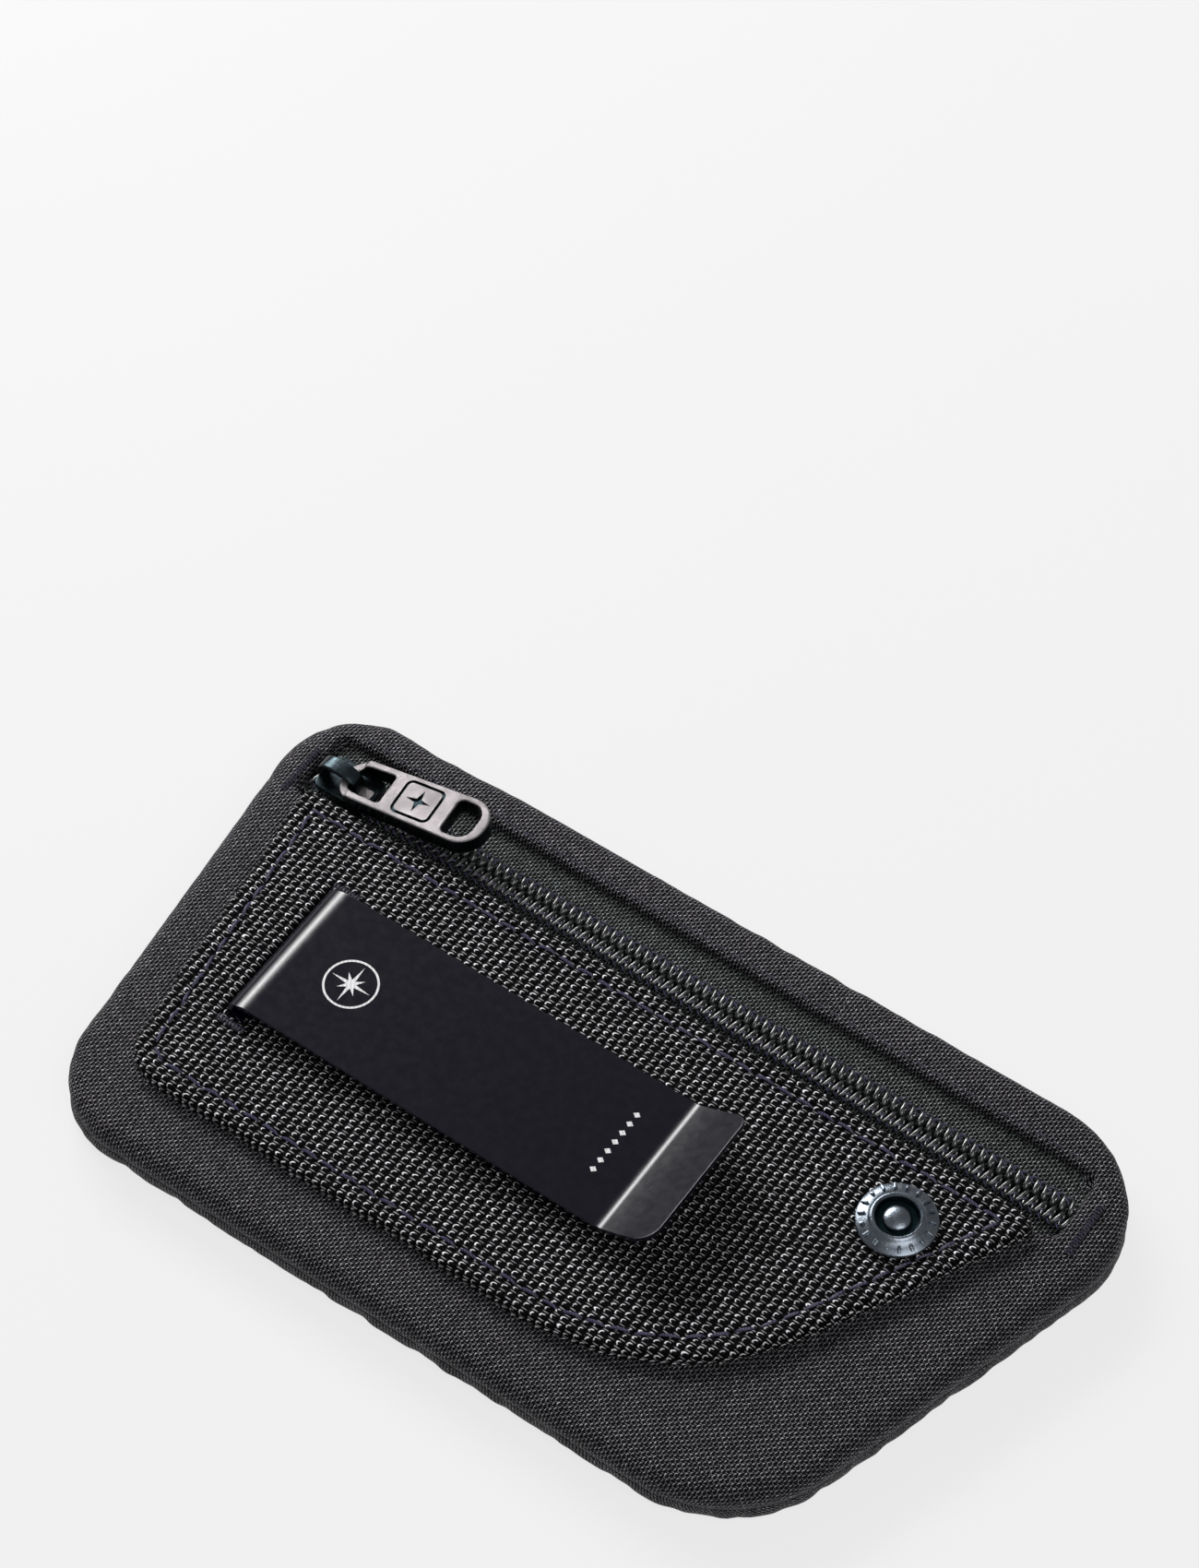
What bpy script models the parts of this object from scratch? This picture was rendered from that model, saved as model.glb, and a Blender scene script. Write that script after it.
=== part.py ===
"""Flat zipped travel pouch with a steel belt clip, built as its separate pieces.

Frame: X runs along the zip, from the closed end to the open end, Y points to the
zip side, and Z points out of the front. The origin is under the middle of the
pouch, on the surface that its back lies on. Lengths are in metres.
"""

import math

import bmesh
import bpy
from mathutils import Matrix, Vector

MM = 0.001
SMALL_CORNER = 0.1 * MM

# Pouch: each corner is (x, y, radius), counter-clockwise from the lower left.
POUCH_CORNERS = (
    (-55.6 * MM, -35.4 * MM, 12.0 * MM),
    (46.2 * MM, -34.9 * MM, 19.0 * MM),
    (67.3 * MM, 35.3 * MM, 15.0 * MM),
    (-63.6 * MM, 33.9 * MM, 11.5 * MM),
)
POUCH_THICKNESS = 6.6 * MM
PANEL_WALL = 1.2 * MM
PANEL_EDGE_RADIUS = 2.9 * MM
SEAM_GAP = 0.1 * MM
ARC_STEPS = 9

# Zip: a small coil zip, its chain on the tape and its tapes under the front panel.
ZIP_Y = 22.4 * MM
ZIP_LEFT = -57.2 * MM
ZIP_RIGHT = 55.2 * MM
WINDOW_LOW = 18.2 * MM
WINDOW_HIGH = 28.6 * MM
WINDOW_CORNER = 1.2 * MM
WINDOW_CUT = (4.0 * MM, 9.0 * MM)
TAPE_LOW_EDGE = 13.0 * MM
TAPE_HIGH_EDGE = 29.6 * MM
TAPE_THICKNESS = 0.45 * MM
TAPE_BOTTOM = 4.8 * MM
TAPE_PAST_WINDOW = (0.8 * MM, 1.8 * MM)
TAPE_OUTER_CORNER = 3.0 * MM
TAPE_INNER_CORNER = 0.2 * MM
CHAIN_HALF_WIDTH = 2.0 * MM
CHAIN_CENTRE_GAP = 0.6 * MM
COIL_PITCH = 1.25 * MM
COIL_BOTTOM = 5.35 * MM
COIL_TOP = 6.75 * MM
COIL_SPINE_HALF = 1.15 * MM
COIL_END_MARGIN = 0.6 * MM
COIL_FIRST_TURN = 0.2 * MM
COIL_TOOTH_TIP = 0.55 * MM
COIL_TOOTH_SLOPE = 0.1 * MM

# Slider, at the closed end of the zip.
SLIDER_LEFT = -55.5 * MM
SLIDER_LENGTH = 8.1 * MM
SLIDER_NOSE_HALF = 2.9 * MM
SLIDER_TAIL_HALF = 2.65 * MM
SLIDER_NOSE_CORNER = 1.3 * MM
SLIDER_TAIL_CORNER = 0.9 * MM
SLIDER_LOW_PLATE_TRIM = 0.2 * MM
SLIDER_FLANGE_HALVES = (2.15 * MM, 2.6 * MM)
SLIDER_FLANGE_ENDS = (3.0 * MM, 0.7 * MM)
SLIDER_TOP_PLATE = (6.95 * MM, 7.75 * MM)
SLIDER_LOW_PLATE = (3.85 * MM, 4.65 * MM)
SLIDER_BRIDGE_WIDTH = 0.44 * MM
SLIDER_BRIDGE_LENGTH = 1.8 * MM
SLIDER_BRIDGE_START = 0.5 * MM
SLIDER_EDGE = 0.15 * MM
JOIN_OVERLAP = 0.3 * MM

# Puller, turning on its own end bar under the slider's crown.
PULLER_AXIS = Vector((-51.35 * MM, 22.1 * MM, 8.85 * MM))
PULLER_TILT = math.radians(7.0)
PULLER_YAW = math.radians(5.5)
PULLER_LENGTH = 20.9 * MM
PULLER_HALF_WIDTH = 3.7 * MM
PULLER_BAR_HALF_WIDTH = 3.15 * MM
PULLER_THICKNESS = 2.4 * MM
PULLER_BAR = 1.1 * MM
PULLER_BAR_THICKNESS = 1.3 * MM
PULLER_THIN_END = 1.3 * MM
PULLER_BAR_CORNER = 2.9 * MM
PULLER_TIP_CORNER = 3.4 * MM
PULLER_EDGE = 0.25 * MM
CROWN_WINDOW_LENGTH = 5.4 * MM
CROWN_WINDOW_HALVES = (2.1 * MM, 2.35 * MM)
CROWN_WINDOW_CORNERS = (1.8 * MM, 0.5 * MM)
GRIP_SLOT_FROM_TIP = (5.2 * MM, 1.4 * MM)
GRIP_SLOT_HALF = 2.7 * MM
GRIP_SLOT_CORNERS = (0.7 * MM, 1.9 * MM)
CROWN_X = -52.6 * MM
CROWN_HALF_SPAN = 2.75 * MM
CROWN_HEIGHT = 2.5 * MM
CROWN_SQUARENESS = 2.8
CROWN_THICKNESS = 0.75 * MM
CROWN_WIDTH = 2.0 * MM
CROWN_FOOT = 7.82 * MM
CROWN_STEPS = 16
CROWN_EDGE = 0.12 * MM

# Patch: corners as for the pouch, with a long sweep at the lower right.
PATCH_CORNERS = (
    (-49.2 * MM, -26.3 * MM, 6.0 * MM),
    (29.8 * MM, -26.3 * MM, 32.8 * MM),
    (53.7 * MM, 18.6 * MM, 1.6 * MM),
    (-55.3 * MM, 18.6 * MM, 1.2 * MM),
)
PATCH_BOTTOM = 6.7 * MM
PATCH_TOP = 8.6 * MM
PATCH_FABRIC = 1.1 * MM
HEM_WIDTH = 3.2 * MM
HEM_STITCH_INSET = 2.6 * MM
PATCH_EDGE = 0.5 * MM
CUT_PAST = 1.0 * MM

# Clip: one strip of spring steel folded back on itself, with a flared lip.
CLIP_Y = -3.1 * MM
CLIP_WIDTH = 20.6 * MM
CLIP_STEEL = 0.7 * MM
CLIP_BOTTOM = 6.75 * MM
CLIP_TOP = 11.0 * MM
CLIP_BEND_X = -40.8 * MM
CLIP_CREASE_X = 11.2 * MM
CLIP_LIP_LENGTH = 9.1 * MM
CLIP_LIP_ANGLE = math.radians(29.0)
CLIP_CREASE_RADIUS = 2.4 * MM
CLIP_LIP_CORNER = 2.4 * MM
CLIP_LOWER_END_X = 6.0 * MM
CLIP_BEND_GAP = 0.45 * MM
CLIP_SLOT_X = (-43.35 * MM, -40.3 * MM)
CLIP_SLOT_MARGIN = 0.45 * MM
BEND_STEPS = 14
CREASE_STEPS = 4

# Rivet, through the patch and the front panel.
RIVET_X = 39.4 * MM
RIVET_Y = 8.7 * MM
RIVET_FLANGE_RADIUS = 5.0 * MM
RIVET_SHANK_RADIUS = 1.0 * MM
RIVET_HOLE_RADIUS = 1.25 * MM
RIVET_HEAD_RADIUS = 1.75 * MM
RIVET_BASE_RADIUS = 3.4 * MM
RIVET_BASE = (4.55 * MM, 5.3 * MM)
RIVET_SEAT = PATCH_TOP + 0.05 * MM
RIVET_HEAD_LIFT = 0.57 * MM
RIVET_HOLE_DEPTH = (3.0 * MM, 11.0 * MM)
HOLE_STEPS = 24
TURN_STEPS = 40

# Sewing thread.
THREAD_WIDTH = 0.35 * MM
THREAD_HEIGHT = 0.2 * MM
THREAD_LIFT = 0.05 * MM
TACK_WIDTH = 0.9 * MM
TACK_CORNER = 0.3 * MM
TACK_LEFT = (-58.2 * MM, 17.2 * MM, 25.0 * MM)
TACK_RIGHT = (57.6 * MM, 17.4 * MM, 25.4 * MM)
CLIP_TACK_GAP = 0.4 * MM
CLIP_TACK_PAST_SLOT = 1.0 * MM
SEAM_LINE_Y = 29.5 * MM
SEAM_LINE_X = (-54.5 * MM, 52.5 * MM)


def clear_scene():
    for obj in list(bpy.data.objects):
        bpy.data.objects.remove(obj, do_unlink=True)


def new_collection(name):
    collection = bpy.data.collections.new(name)
    bpy.context.scene.collection.children.link(collection)
    return collection


def principled(name, colour, roughness, metallic=0.0):
    material = bpy.data.materials.new(name)
    material.use_nodes = True
    shader = material.node_tree.nodes["Principled BSDF"]
    shader.inputs["Base Color"].default_value = (*colour, 1.0)
    shader.inputs["Roughness"].default_value = roughness
    shader.inputs["Metallic"].default_value = metallic
    return material


# ---------------------------------------------------------------- outlines


def corner_arcs(corners):
    """Each rounded corner as (centre, radius, first angle, last angle)."""
    arcs = []
    count = len(corners)
    for index, (x, y, radius) in enumerate(corners):
        corner = Vector((x, y))
        before = Vector(corners[index - 1][:2])
        after = Vector(corners[(index + 1) % count][:2])
        incoming = (corner - before).normalized()
        outgoing = (after - corner).normalized()
        normal_in = Vector((incoming.y, -incoming.x))
        normal_out = Vector((outgoing.y, -outgoing.x))
        inward = -(normal_in + normal_out) / (1.0 + normal_in.dot(normal_out))
        first = math.atan2(normal_in.y, normal_in.x)
        turn = math.acos(max(-1.0, min(1.0, normal_in.dot(normal_out))))
        arcs.append((corner + inward * radius, radius, first, first + turn))
    return arcs


def ring_points(arcs, inset=0.0, steps=ARC_STEPS):
    """The outline drawn in by an inset, as points counter-clockwise."""
    points = []
    for centre, radius, first, last in arcs:
        for step in range(steps + 1):
            angle = first + (last - first) * step / steps
            reach = max(radius - inset, 0.05 * MM)
            direction = Vector((math.cos(angle), math.sin(angle)))
            slip = inset - (radius - reach)
            mid = (first + last) / 2.0
            bisector = Vector((math.cos(mid), math.sin(mid)))
            pulled = bisector * (slip / math.cos((last - first) / 2.0))
            points.append(centre + direction * reach - pulled)
    return points


def centred(corners):
    """The corners moved so that the outline's box is centred on the origin."""
    points = ring_points(corner_arcs(corners))
    mid_x = (min(p.x for p in points) + max(p.x for p in points)) / 2.0
    mid_y = (min(p.y for p in points) + max(p.y for p in points)) / 2.0
    return tuple((x - mid_x, y - mid_y, radius) for x, y, radius in corners)


def box_corners(low_x, high_x, low_y, high_y, radius):
    return (
        (low_x, low_y, radius),
        (high_x, low_y, radius),
        (high_x, high_y, radius),
        (low_x, high_y, radius),
    )


# ---------------------------------------------------------------- bodies


def prism_mesh(points, bottom, top, open_bottom=False):
    """A flat outline raised from bottom to top; top may be the lower of the two."""
    bm = bmesh.new()
    face = bm.faces.new([bm.verts.new((p.x, p.y, bottom)) for p in points])
    grown = bmesh.ops.extrude_face_region(bm, geom=[face])
    lifted = [item for item in grown["geom"] if isinstance(item, bmesh.types.BMVert)]
    bmesh.ops.translate(bm, verts=lifted, vec=(0.0, 0.0, top - bottom))
    base = [f for f in bm.faces if all(abs(v.co.z - bottom) < 1e-7 for v in f.verts)]
    bmesh.ops.recalc_face_normals(bm, faces=bm.faces)
    if open_bottom:
        bmesh.ops.delete(bm, geom=base, context="FACES_ONLY")
    return bm


def side_profile_mesh(points, low_y, high_y):
    """A closed outline in X and Z, drawn out along Y."""
    bm = bmesh.new()
    face = bm.faces.new([bm.verts.new((x, low_y, z)) for x, z in points])
    grown = bmesh.ops.extrude_face_region(bm, geom=[face])
    moved = [item for item in grown["geom"] if isinstance(item, bmesh.types.BMVert)]
    bmesh.ops.translate(bm, verts=moved, vec=(0.0, high_y - low_y, 0.0))
    bmesh.ops.recalc_face_normals(bm, faces=bm.faces)
    return bm


def add_object(name, bm, material, collection, smooth=True):
    mesh = bpy.data.meshes.new(name)
    bm.to_mesh(mesh)
    bm.free()
    obj = bpy.data.objects.new(name, mesh)
    collection.objects.link(obj)
    if material:
        mesh.materials.append(material)
    if smooth:
        mesh.shade_smooth()
        mesh.set_sharp_from_angle(angle=math.radians(35.0))
    return obj


def add_cutter(name, bm):
    cutter = add_object(name, bm, None, CUTTERS, smooth=False)
    cutter.hide_render = True
    cutter.display_type = "WIRE"
    return cutter


def put_origin(obj, point):
    """Moves the object's origin to a point and leaves its shape where it is."""
    obj.data.transform(Matrix.Translation(-point))
    obj.location = point


def hang_from(child, parent, parent_origin):
    """Parents the child, which keeps the place that its own matrix gives it."""
    child.parent = parent
    child.matrix_parent_inverse = Matrix.Translation(-parent_origin)


def boolean(obj, other, operation="DIFFERENCE"):
    modifier = obj.modifiers.new(f"{operation.lower()}_{other.name}", "BOOLEAN")
    modifier.operation = operation
    modifier.object = other
    modifier.solver = "EXACT"


def bevel(obj, width, segments, angle=math.radians(40.0)):
    modifier = obj.modifiers.new("rounded_edges", "BEVEL")
    modifier.width = width
    modifier.segments = segments
    modifier.limit_method = "ANGLE"
    modifier.angle_limit = angle
    modifier.use_clamp_overlap = False


def turned_mesh(profile, centre):
    """A closed profile of (radius, z) points spun about a vertical axis."""
    bm = bmesh.new()
    verts = [bm.verts.new((centre.x + r, centre.y, z)) for r, z in profile]
    edges = [bm.edges.new(pair) for pair in zip(verts, verts[1:])]
    if profile[0][0] > 0.0:
        edges.append(bm.edges.new((verts[-1], verts[0])))
    bmesh.ops.spin(
        bm,
        geom=verts + edges,
        cent=(centre.x, centre.y, 0.0),
        axis=(0.0, 0.0, 1.0),
        angle=2.0 * math.pi,
        steps=TURN_STEPS,
        use_merge=True,
    )
    bmesh.ops.remove_doubles(bm, verts=bm.verts, dist=1e-6)
    bmesh.ops.recalc_face_normals(bm, faces=bm.faces)
    return bm


# ---------------------------------------------------------------- pouch


def build_panels(fabric):
    arcs = corner_arcs(centred(POUCH_CORNERS))
    seam = POUCH_THICKNESS / 2.0
    sides = {
        "front_panel": (seam + SEAM_GAP / 2.0, POUCH_THICKNESS),
        "back_panel": (seam - SEAM_GAP / 2.0, 0.0),
    }
    panels = {}
    for name, (rim, face) in sides.items():
        bm = prism_mesh(ring_points(arcs), rim, face, open_bottom=True)
        panel = add_object(name, bm, fabric, PARTS)
        bevel(panel, PANEL_EDGE_RADIUS, 4)
        wall = panel.modifiers.new("wall", "SOLIDIFY")
        wall.thickness = PANEL_WALL
        wall.offset = -1.0
        wall.use_even_offset = True
        panels[name] = panel
    return panels


def cut_front_openings(front_panel):
    window = box_corners(ZIP_LEFT, ZIP_RIGHT, WINDOW_LOW, WINDOW_HIGH, WINDOW_CORNER)
    bm = prism_mesh(ring_points(corner_arcs(window), steps=3), *WINDOW_CUT)
    boolean(front_panel, add_cutter("zip_window_cutter", bm))
    boolean(front_panel, add_cutter("panel_rivet_cutter", rivet_hole_mesh()))


# ---------------------------------------------------------------- zip


def coil_outline(side):
    """A comb: a spine along the outer side, and one tooth for each coil turn."""
    outer = ZIP_Y + side * CHAIN_HALF_WIDTH
    root = ZIP_Y + side * COIL_SPINE_HALF
    tip = ZIP_Y + side * CHAIN_CENTRE_GAP / 2.0
    shift = 0.0 if side > 0 else COIL_PITCH / 2.0
    start = ZIP_LEFT + COIL_END_MARGIN
    end = ZIP_RIGHT - COIL_END_MARGIN
    turns = int((end - start - shift) / COIL_PITCH)
    points = [(start, outer), (start, root)]
    for turn in range(turns):
        foot = start + shift + COIL_FIRST_TURN + turn * COIL_PITCH
        near = foot + COIL_TOOTH_SLOPE
        far = near + COIL_TOOTH_TIP
        points += [(foot, root), (near, tip)]
        points += [(far, tip), (far + COIL_TOOTH_SLOPE, root)]
    points += [(end, root), (end, outer)]
    return [Vector(point) for point in points]


def build_zip(tape_finish, coil_finish):
    tape_left = ZIP_LEFT - TAPE_PAST_WINDOW[0]
    tape_right = ZIP_RIGHT + TAPE_PAST_WINDOW[1]
    inner = CHAIN_CENTRE_GAP / 2.0
    outer_radius = TAPE_OUTER_CORNER
    small = TAPE_INNER_CORNER
    tapes = {
        "zip_tape_upper": (
            (tape_left, ZIP_Y + inner, small),
            (tape_right, ZIP_Y + inner, small),
            (tape_right, TAPE_HIGH_EDGE, outer_radius),
            (tape_left, TAPE_HIGH_EDGE, outer_radius),
        ),
        "zip_tape_lower": (
            (tape_left, TAPE_LOW_EDGE, outer_radius),
            (tape_right, TAPE_LOW_EDGE, outer_radius),
            (tape_right, ZIP_Y - inner, small),
            (tape_left, ZIP_Y - inner, small),
        ),
    }
    for name, corners in tapes.items():
        points = ring_points(corner_arcs(corners), steps=4)
        bm = prism_mesh(points, TAPE_BOTTOM, TAPE_BOTTOM + TAPE_THICKNESS)
        add_object(name, bm, tape_finish, PARTS)
    for name, side in (("zip_coil_upper", 1), ("zip_coil_lower", -1)):
        bm = prism_mesh(coil_outline(side), COIL_BOTTOM, COIL_TOP)
        add_object(name, bm, coil_finish, PARTS)


def plate_corners(trim=0.0):
    right = SLIDER_LEFT + SLIDER_LENGTH
    nose = SLIDER_NOSE_HALF - trim
    tail = SLIDER_TAIL_HALF - trim
    return (
        (SLIDER_LEFT, ZIP_Y - nose, SLIDER_NOSE_CORNER),
        (right, ZIP_Y - tail, SLIDER_TAIL_CORNER),
        (right, ZIP_Y + tail, SLIDER_TAIL_CORNER),
        (SLIDER_LEFT, ZIP_Y + nose, SLIDER_NOSE_CORNER),
    )


def slider_origin():
    """A point on the line that the slider runs along."""
    return Vector((SLIDER_LEFT + SLIDER_LENGTH / 2.0, ZIP_Y, SLIDER_TOP_PLATE[0]))


def build_slider(metal):
    low, high = SLIDER_TOP_PLATE
    plate = ring_points(corner_arcs(plate_corners()), steps=4)
    body = add_object("slider_body", prism_mesh(plate, low, high), metal, PARTS)
    bevel(body, SLIDER_EDGE, 1)
    under_low, under_high = SLIDER_LOW_PLATE
    under = ring_points(corner_arcs(plate_corners(SLIDER_LOW_PLATE_TRIM)), steps=4)
    add_union(body, "slider_low_plate", prism_mesh(under, under_low, under_high))
    bridge_left = SLIDER_LEFT + SLIDER_BRIDGE_START
    half = SLIDER_BRIDGE_WIDTH / 2.0
    bridge = box_corners(
        bridge_left,
        bridge_left + SLIDER_BRIDGE_LENGTH,
        ZIP_Y - half,
        ZIP_Y + half,
        SMALL_CORNER,
    )
    bridge_points = ring_points(corner_arcs(bridge), steps=2)
    joined = low + JOIN_OVERLAP
    bridge_mesh = prism_mesh(bridge_points, under_high - JOIN_OVERLAP, joined)
    add_union(body, "slider_bridge", bridge_mesh)
    flange_left = SLIDER_LEFT + SLIDER_FLANGE_ENDS[0]
    flange_right = SLIDER_LEFT + SLIDER_LENGTH - SLIDER_FLANGE_ENDS[1]
    for name, side in (("slider_flange_upper", 1), ("slider_flange_lower", -1)):
        near, far = sorted(ZIP_Y + side * half_gap for half_gap in SLIDER_FLANGE_HALVES)
        flange = box_corners(flange_left, flange_right, near, far, SLIDER_EDGE)
        points = ring_points(corner_arcs(flange), steps=2)
        add_union(body, name, prism_mesh(points, COIL_BOTTOM + SLIDER_EDGE, joined))
    put_origin(body, slider_origin())
    return body


def add_union(obj, name, bm):
    boolean(obj, add_cutter(name, bm), "UNION")


def build_crown(metal):
    """The strap over the puller's end bar: a squared arch with its feet on the slider."""
    half = CROWN_THICKNESS / 2.0
    power = 2.0 / CROWN_SQUARENESS
    outer = []
    inner = []
    for step in range(CROWN_STEPS + 1):
        angle = math.pi * step / CROWN_STEPS
        for line, grow in ((outer, half), (inner, -half)):
            along = math.copysign(abs(math.cos(angle)) ** power, math.cos(angle))
            up = max(math.sin(angle), 0.0) ** power
            x = CROWN_X - (CROWN_HALF_SPAN + grow) * along
            line.append((x, CROWN_FOOT + (CROWN_HEIGHT + grow) * up))
    profile = outer + inner[::-1]
    low_y = PULLER_AXIS.y - CROWN_WIDTH / 2.0
    bm = side_profile_mesh(profile, low_y, low_y + CROWN_WIDTH)
    crown = add_object("slider_crown", bm, metal, PARTS)
    bevel(crown, CROWN_EDGE, 1)
    return crown


def tapered_corners(ends, halves, radii):
    """A window about the X axis, with its own half width and corners at each end."""
    return (
        (ends[0], -halves[0], radii[0]),
        (ends[1], -halves[1], radii[1]),
        (ends[1], halves[1], radii[1]),
        (ends[0], halves[0], radii[0]),
    )


def build_puller(metal):
    """Drawn flat about its own bar, then tilted and yawed to its rest place."""
    half = PULLER_THICKNESS / 2.0
    start = -PULLER_BAR / 2.0
    end = start + PULLER_LENGTH
    outline = tapered_corners(
        (start, end),
        (PULLER_BAR_HALF_WIDTH, PULLER_HALF_WIDTH),
        (PULLER_BAR_CORNER, PULLER_TIP_CORNER),
    )
    points = ring_points(corner_arcs(outline), steps=7)
    puller = add_object("puller", prism_mesh(points, -half, half), metal, PARTS)
    window = (PULLER_BAR / 2.0, PULLER_BAR / 2.0 + CROWN_WINDOW_LENGTH)
    slot = [end - distance for distance in GRIP_SLOT_FROM_TIP]
    slot_halves = (GRIP_SLOT_HALF, GRIP_SLOT_HALF)
    crown_window = tapered_corners(window, CROWN_WINDOW_HALVES, CROWN_WINDOW_CORNERS)
    grip_slot = tapered_corners(slot, slot_halves, GRIP_SLOT_CORNERS)
    reach = PULLER_HALF_WIDTH
    cutters = []
    for name, corners in (("crown_window", crown_window), ("grip_slot", grip_slot)):
        bm = prism_mesh(ring_points(corner_arcs(corners), steps=4), -reach, reach)
        cutters.append(add_cutter(name, bm))
    thin_end = box_corners(-reach, PULLER_THIN_END, -2.0 * reach, 2.0 * reach, SMALL_CORNER)
    thin_points = ring_points(corner_arcs(thin_end), steps=1)
    thin = PULLER_BAR_THICKNESS / 2.0
    for name, low, high in (("over_bar", thin, reach), ("under_bar", -reach, -thin)):
        cutters.append(add_cutter(name, prism_mesh(thin_points, low, high)))
    place = (
        Matrix.Translation(PULLER_AXIS)
        @ Matrix.Rotation(PULLER_YAW, 4, "Z")
        @ Matrix.Rotation(-PULLER_TILT, 4, "Y")
    )
    for cutter in cutters:
        boolean(puller, cutter)
        cutter.matrix_basis = place
    puller.matrix_basis = place
    bevel(puller, PULLER_EDGE, 2)
    return puller


# ---------------------------------------------------------------- patch and clip


def build_patch(fabric):
    arcs = corner_arcs(PATCH_CORNERS)
    bm = prism_mesh(ring_points(arcs), PATCH_BOTTOM, PATCH_TOP)
    patch = add_object("patch", bm, fabric, PARTS)
    bevel(patch, PATCH_EDGE, 2)
    under = PATCH_TOP - PATCH_FABRIC
    hollow = prism_mesh(ring_points(arcs, HEM_WIDTH), PATCH_BOTTOM - CUT_PAST, under)
    boolean(patch, add_cutter("patch_hollow_cutter", hollow))
    half = CLIP_WIDTH / 2.0 + CLIP_SLOT_MARGIN
    slot = box_corners(*CLIP_SLOT_X, CLIP_Y - half, CLIP_Y + half, TACK_CORNER)
    points = ring_points(corner_arcs(slot), steps=2)
    slot_mesh = prism_mesh(points, PATCH_BOTTOM - CUT_PAST, PATCH_TOP + CUT_PAST)
    boolean(patch, add_cutter("clip_slot_cutter", slot_mesh))
    boolean(patch, add_cutter("patch_rivet_cutter", rivet_hole_mesh()))


def clip_upper_profile():
    """The strip's edge: round the bend, along the leaf and up the flared lip."""
    outer_radius = (CLIP_TOP - CLIP_BOTTOM) / 2.0
    centre_z = CLIP_BOTTOM + outer_radius
    outer = []
    inner = []
    for step in range(BEND_STEPS + 1):
        angle = -math.pi / 2.0 - math.pi * step / BEND_STEPS
        for line, radius in ((outer, outer_radius), (inner, outer_radius - CLIP_STEEL)):
            line.append(
                (
                    CLIP_BEND_X + radius * math.cos(angle),
                    centre_z + radius * math.sin(angle),
                )
            )
    crease_z = CLIP_TOP + CLIP_CREASE_RADIUS
    for step in range(CREASE_STEPS + 1):
        angle = -math.pi / 2.0 + CLIP_LIP_ANGLE * step / CREASE_STEPS
        for line, radius in (
            (outer, CLIP_CREASE_RADIUS),
            (inner, CLIP_CREASE_RADIUS + CLIP_STEEL),
        ):
            line.append(
                (
                    CLIP_CREASE_X + radius * math.cos(angle),
                    crease_z + radius * math.sin(angle),
                )
            )
    run = CLIP_LIP_LENGTH - CLIP_CREASE_RADIUS * CLIP_LIP_ANGLE
    step_x = run * math.cos(CLIP_LIP_ANGLE)
    step_z = run * math.sin(CLIP_LIP_ANGLE)
    for line in (outer, inner):
        last_x, last_z = line[-1]
        line.append((last_x + step_x, last_z + step_z))
    return outer + inner[::-1]


def round_lip_corners(bm):
    """Rounds the two corners at the tip, on the edges through the steel."""
    tip_x = max(v.co.x for v in bm.verts)
    across = CLIP_WIDTH / 2.0
    edges = [
        edge
        for edge in bm.edges
        if all(v.co.x > tip_x - CLIP_STEEL for v in edge.verts)
        and all(abs(abs(v.co.y - CLIP_Y) - across) < 1e-7 for v in edge.verts)
        and edge.calc_length() < 1.5 * CLIP_STEEL
    ]
    bmesh.ops.bevel(
        bm,
        geom=edges,
        offset=CLIP_LIP_CORNER,
        offset_type="OFFSET",
        segments=5,
        profile=0.5,
        affect="EDGES",
        material=-1,
    )


def build_clip(steel):
    low_y = CLIP_Y - CLIP_WIDTH / 2.0
    high_y = CLIP_Y + CLIP_WIDTH / 2.0
    bm = side_profile_mesh(clip_upper_profile(), low_y, high_y)
    round_lip_corners(bm)
    leaf = add_object("clip_upper_leaf", bm, steel, PARTS)
    put_origin(leaf, Vector((CLIP_BEND_X, CLIP_Y, (CLIP_BOTTOM + CLIP_TOP) / 2.0)))
    lower = box_corners(
        CLIP_BEND_X + CLIP_BEND_GAP,
        CLIP_LOWER_END_X,
        low_y,
        high_y,
        TACK_CORNER,
    )
    points = ring_points(corner_arcs(lower), steps=2)
    bm = prism_mesh(points, CLIP_BOTTOM, CLIP_BOTTOM + CLIP_STEEL)
    add_object("clip_lower_leaf", bm, steel, PARTS)


# ---------------------------------------------------------------- rivet


def rivet_centre():
    return Vector((RIVET_X, RIVET_Y))


def rivet_hole_mesh():
    bm = bmesh.new()
    low, high = RIVET_HOLE_DEPTH
    bmesh.ops.create_cone(
        bm,
        cap_ends=True,
        segments=HOLE_STEPS,
        radius1=RIVET_HOLE_RADIUS,
        radius2=RIVET_HOLE_RADIUS,
        depth=high - low,
        matrix=Matrix.Translation((RIVET_X, RIVET_Y, (low + high) / 2.0)),
    )
    return bm


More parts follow.
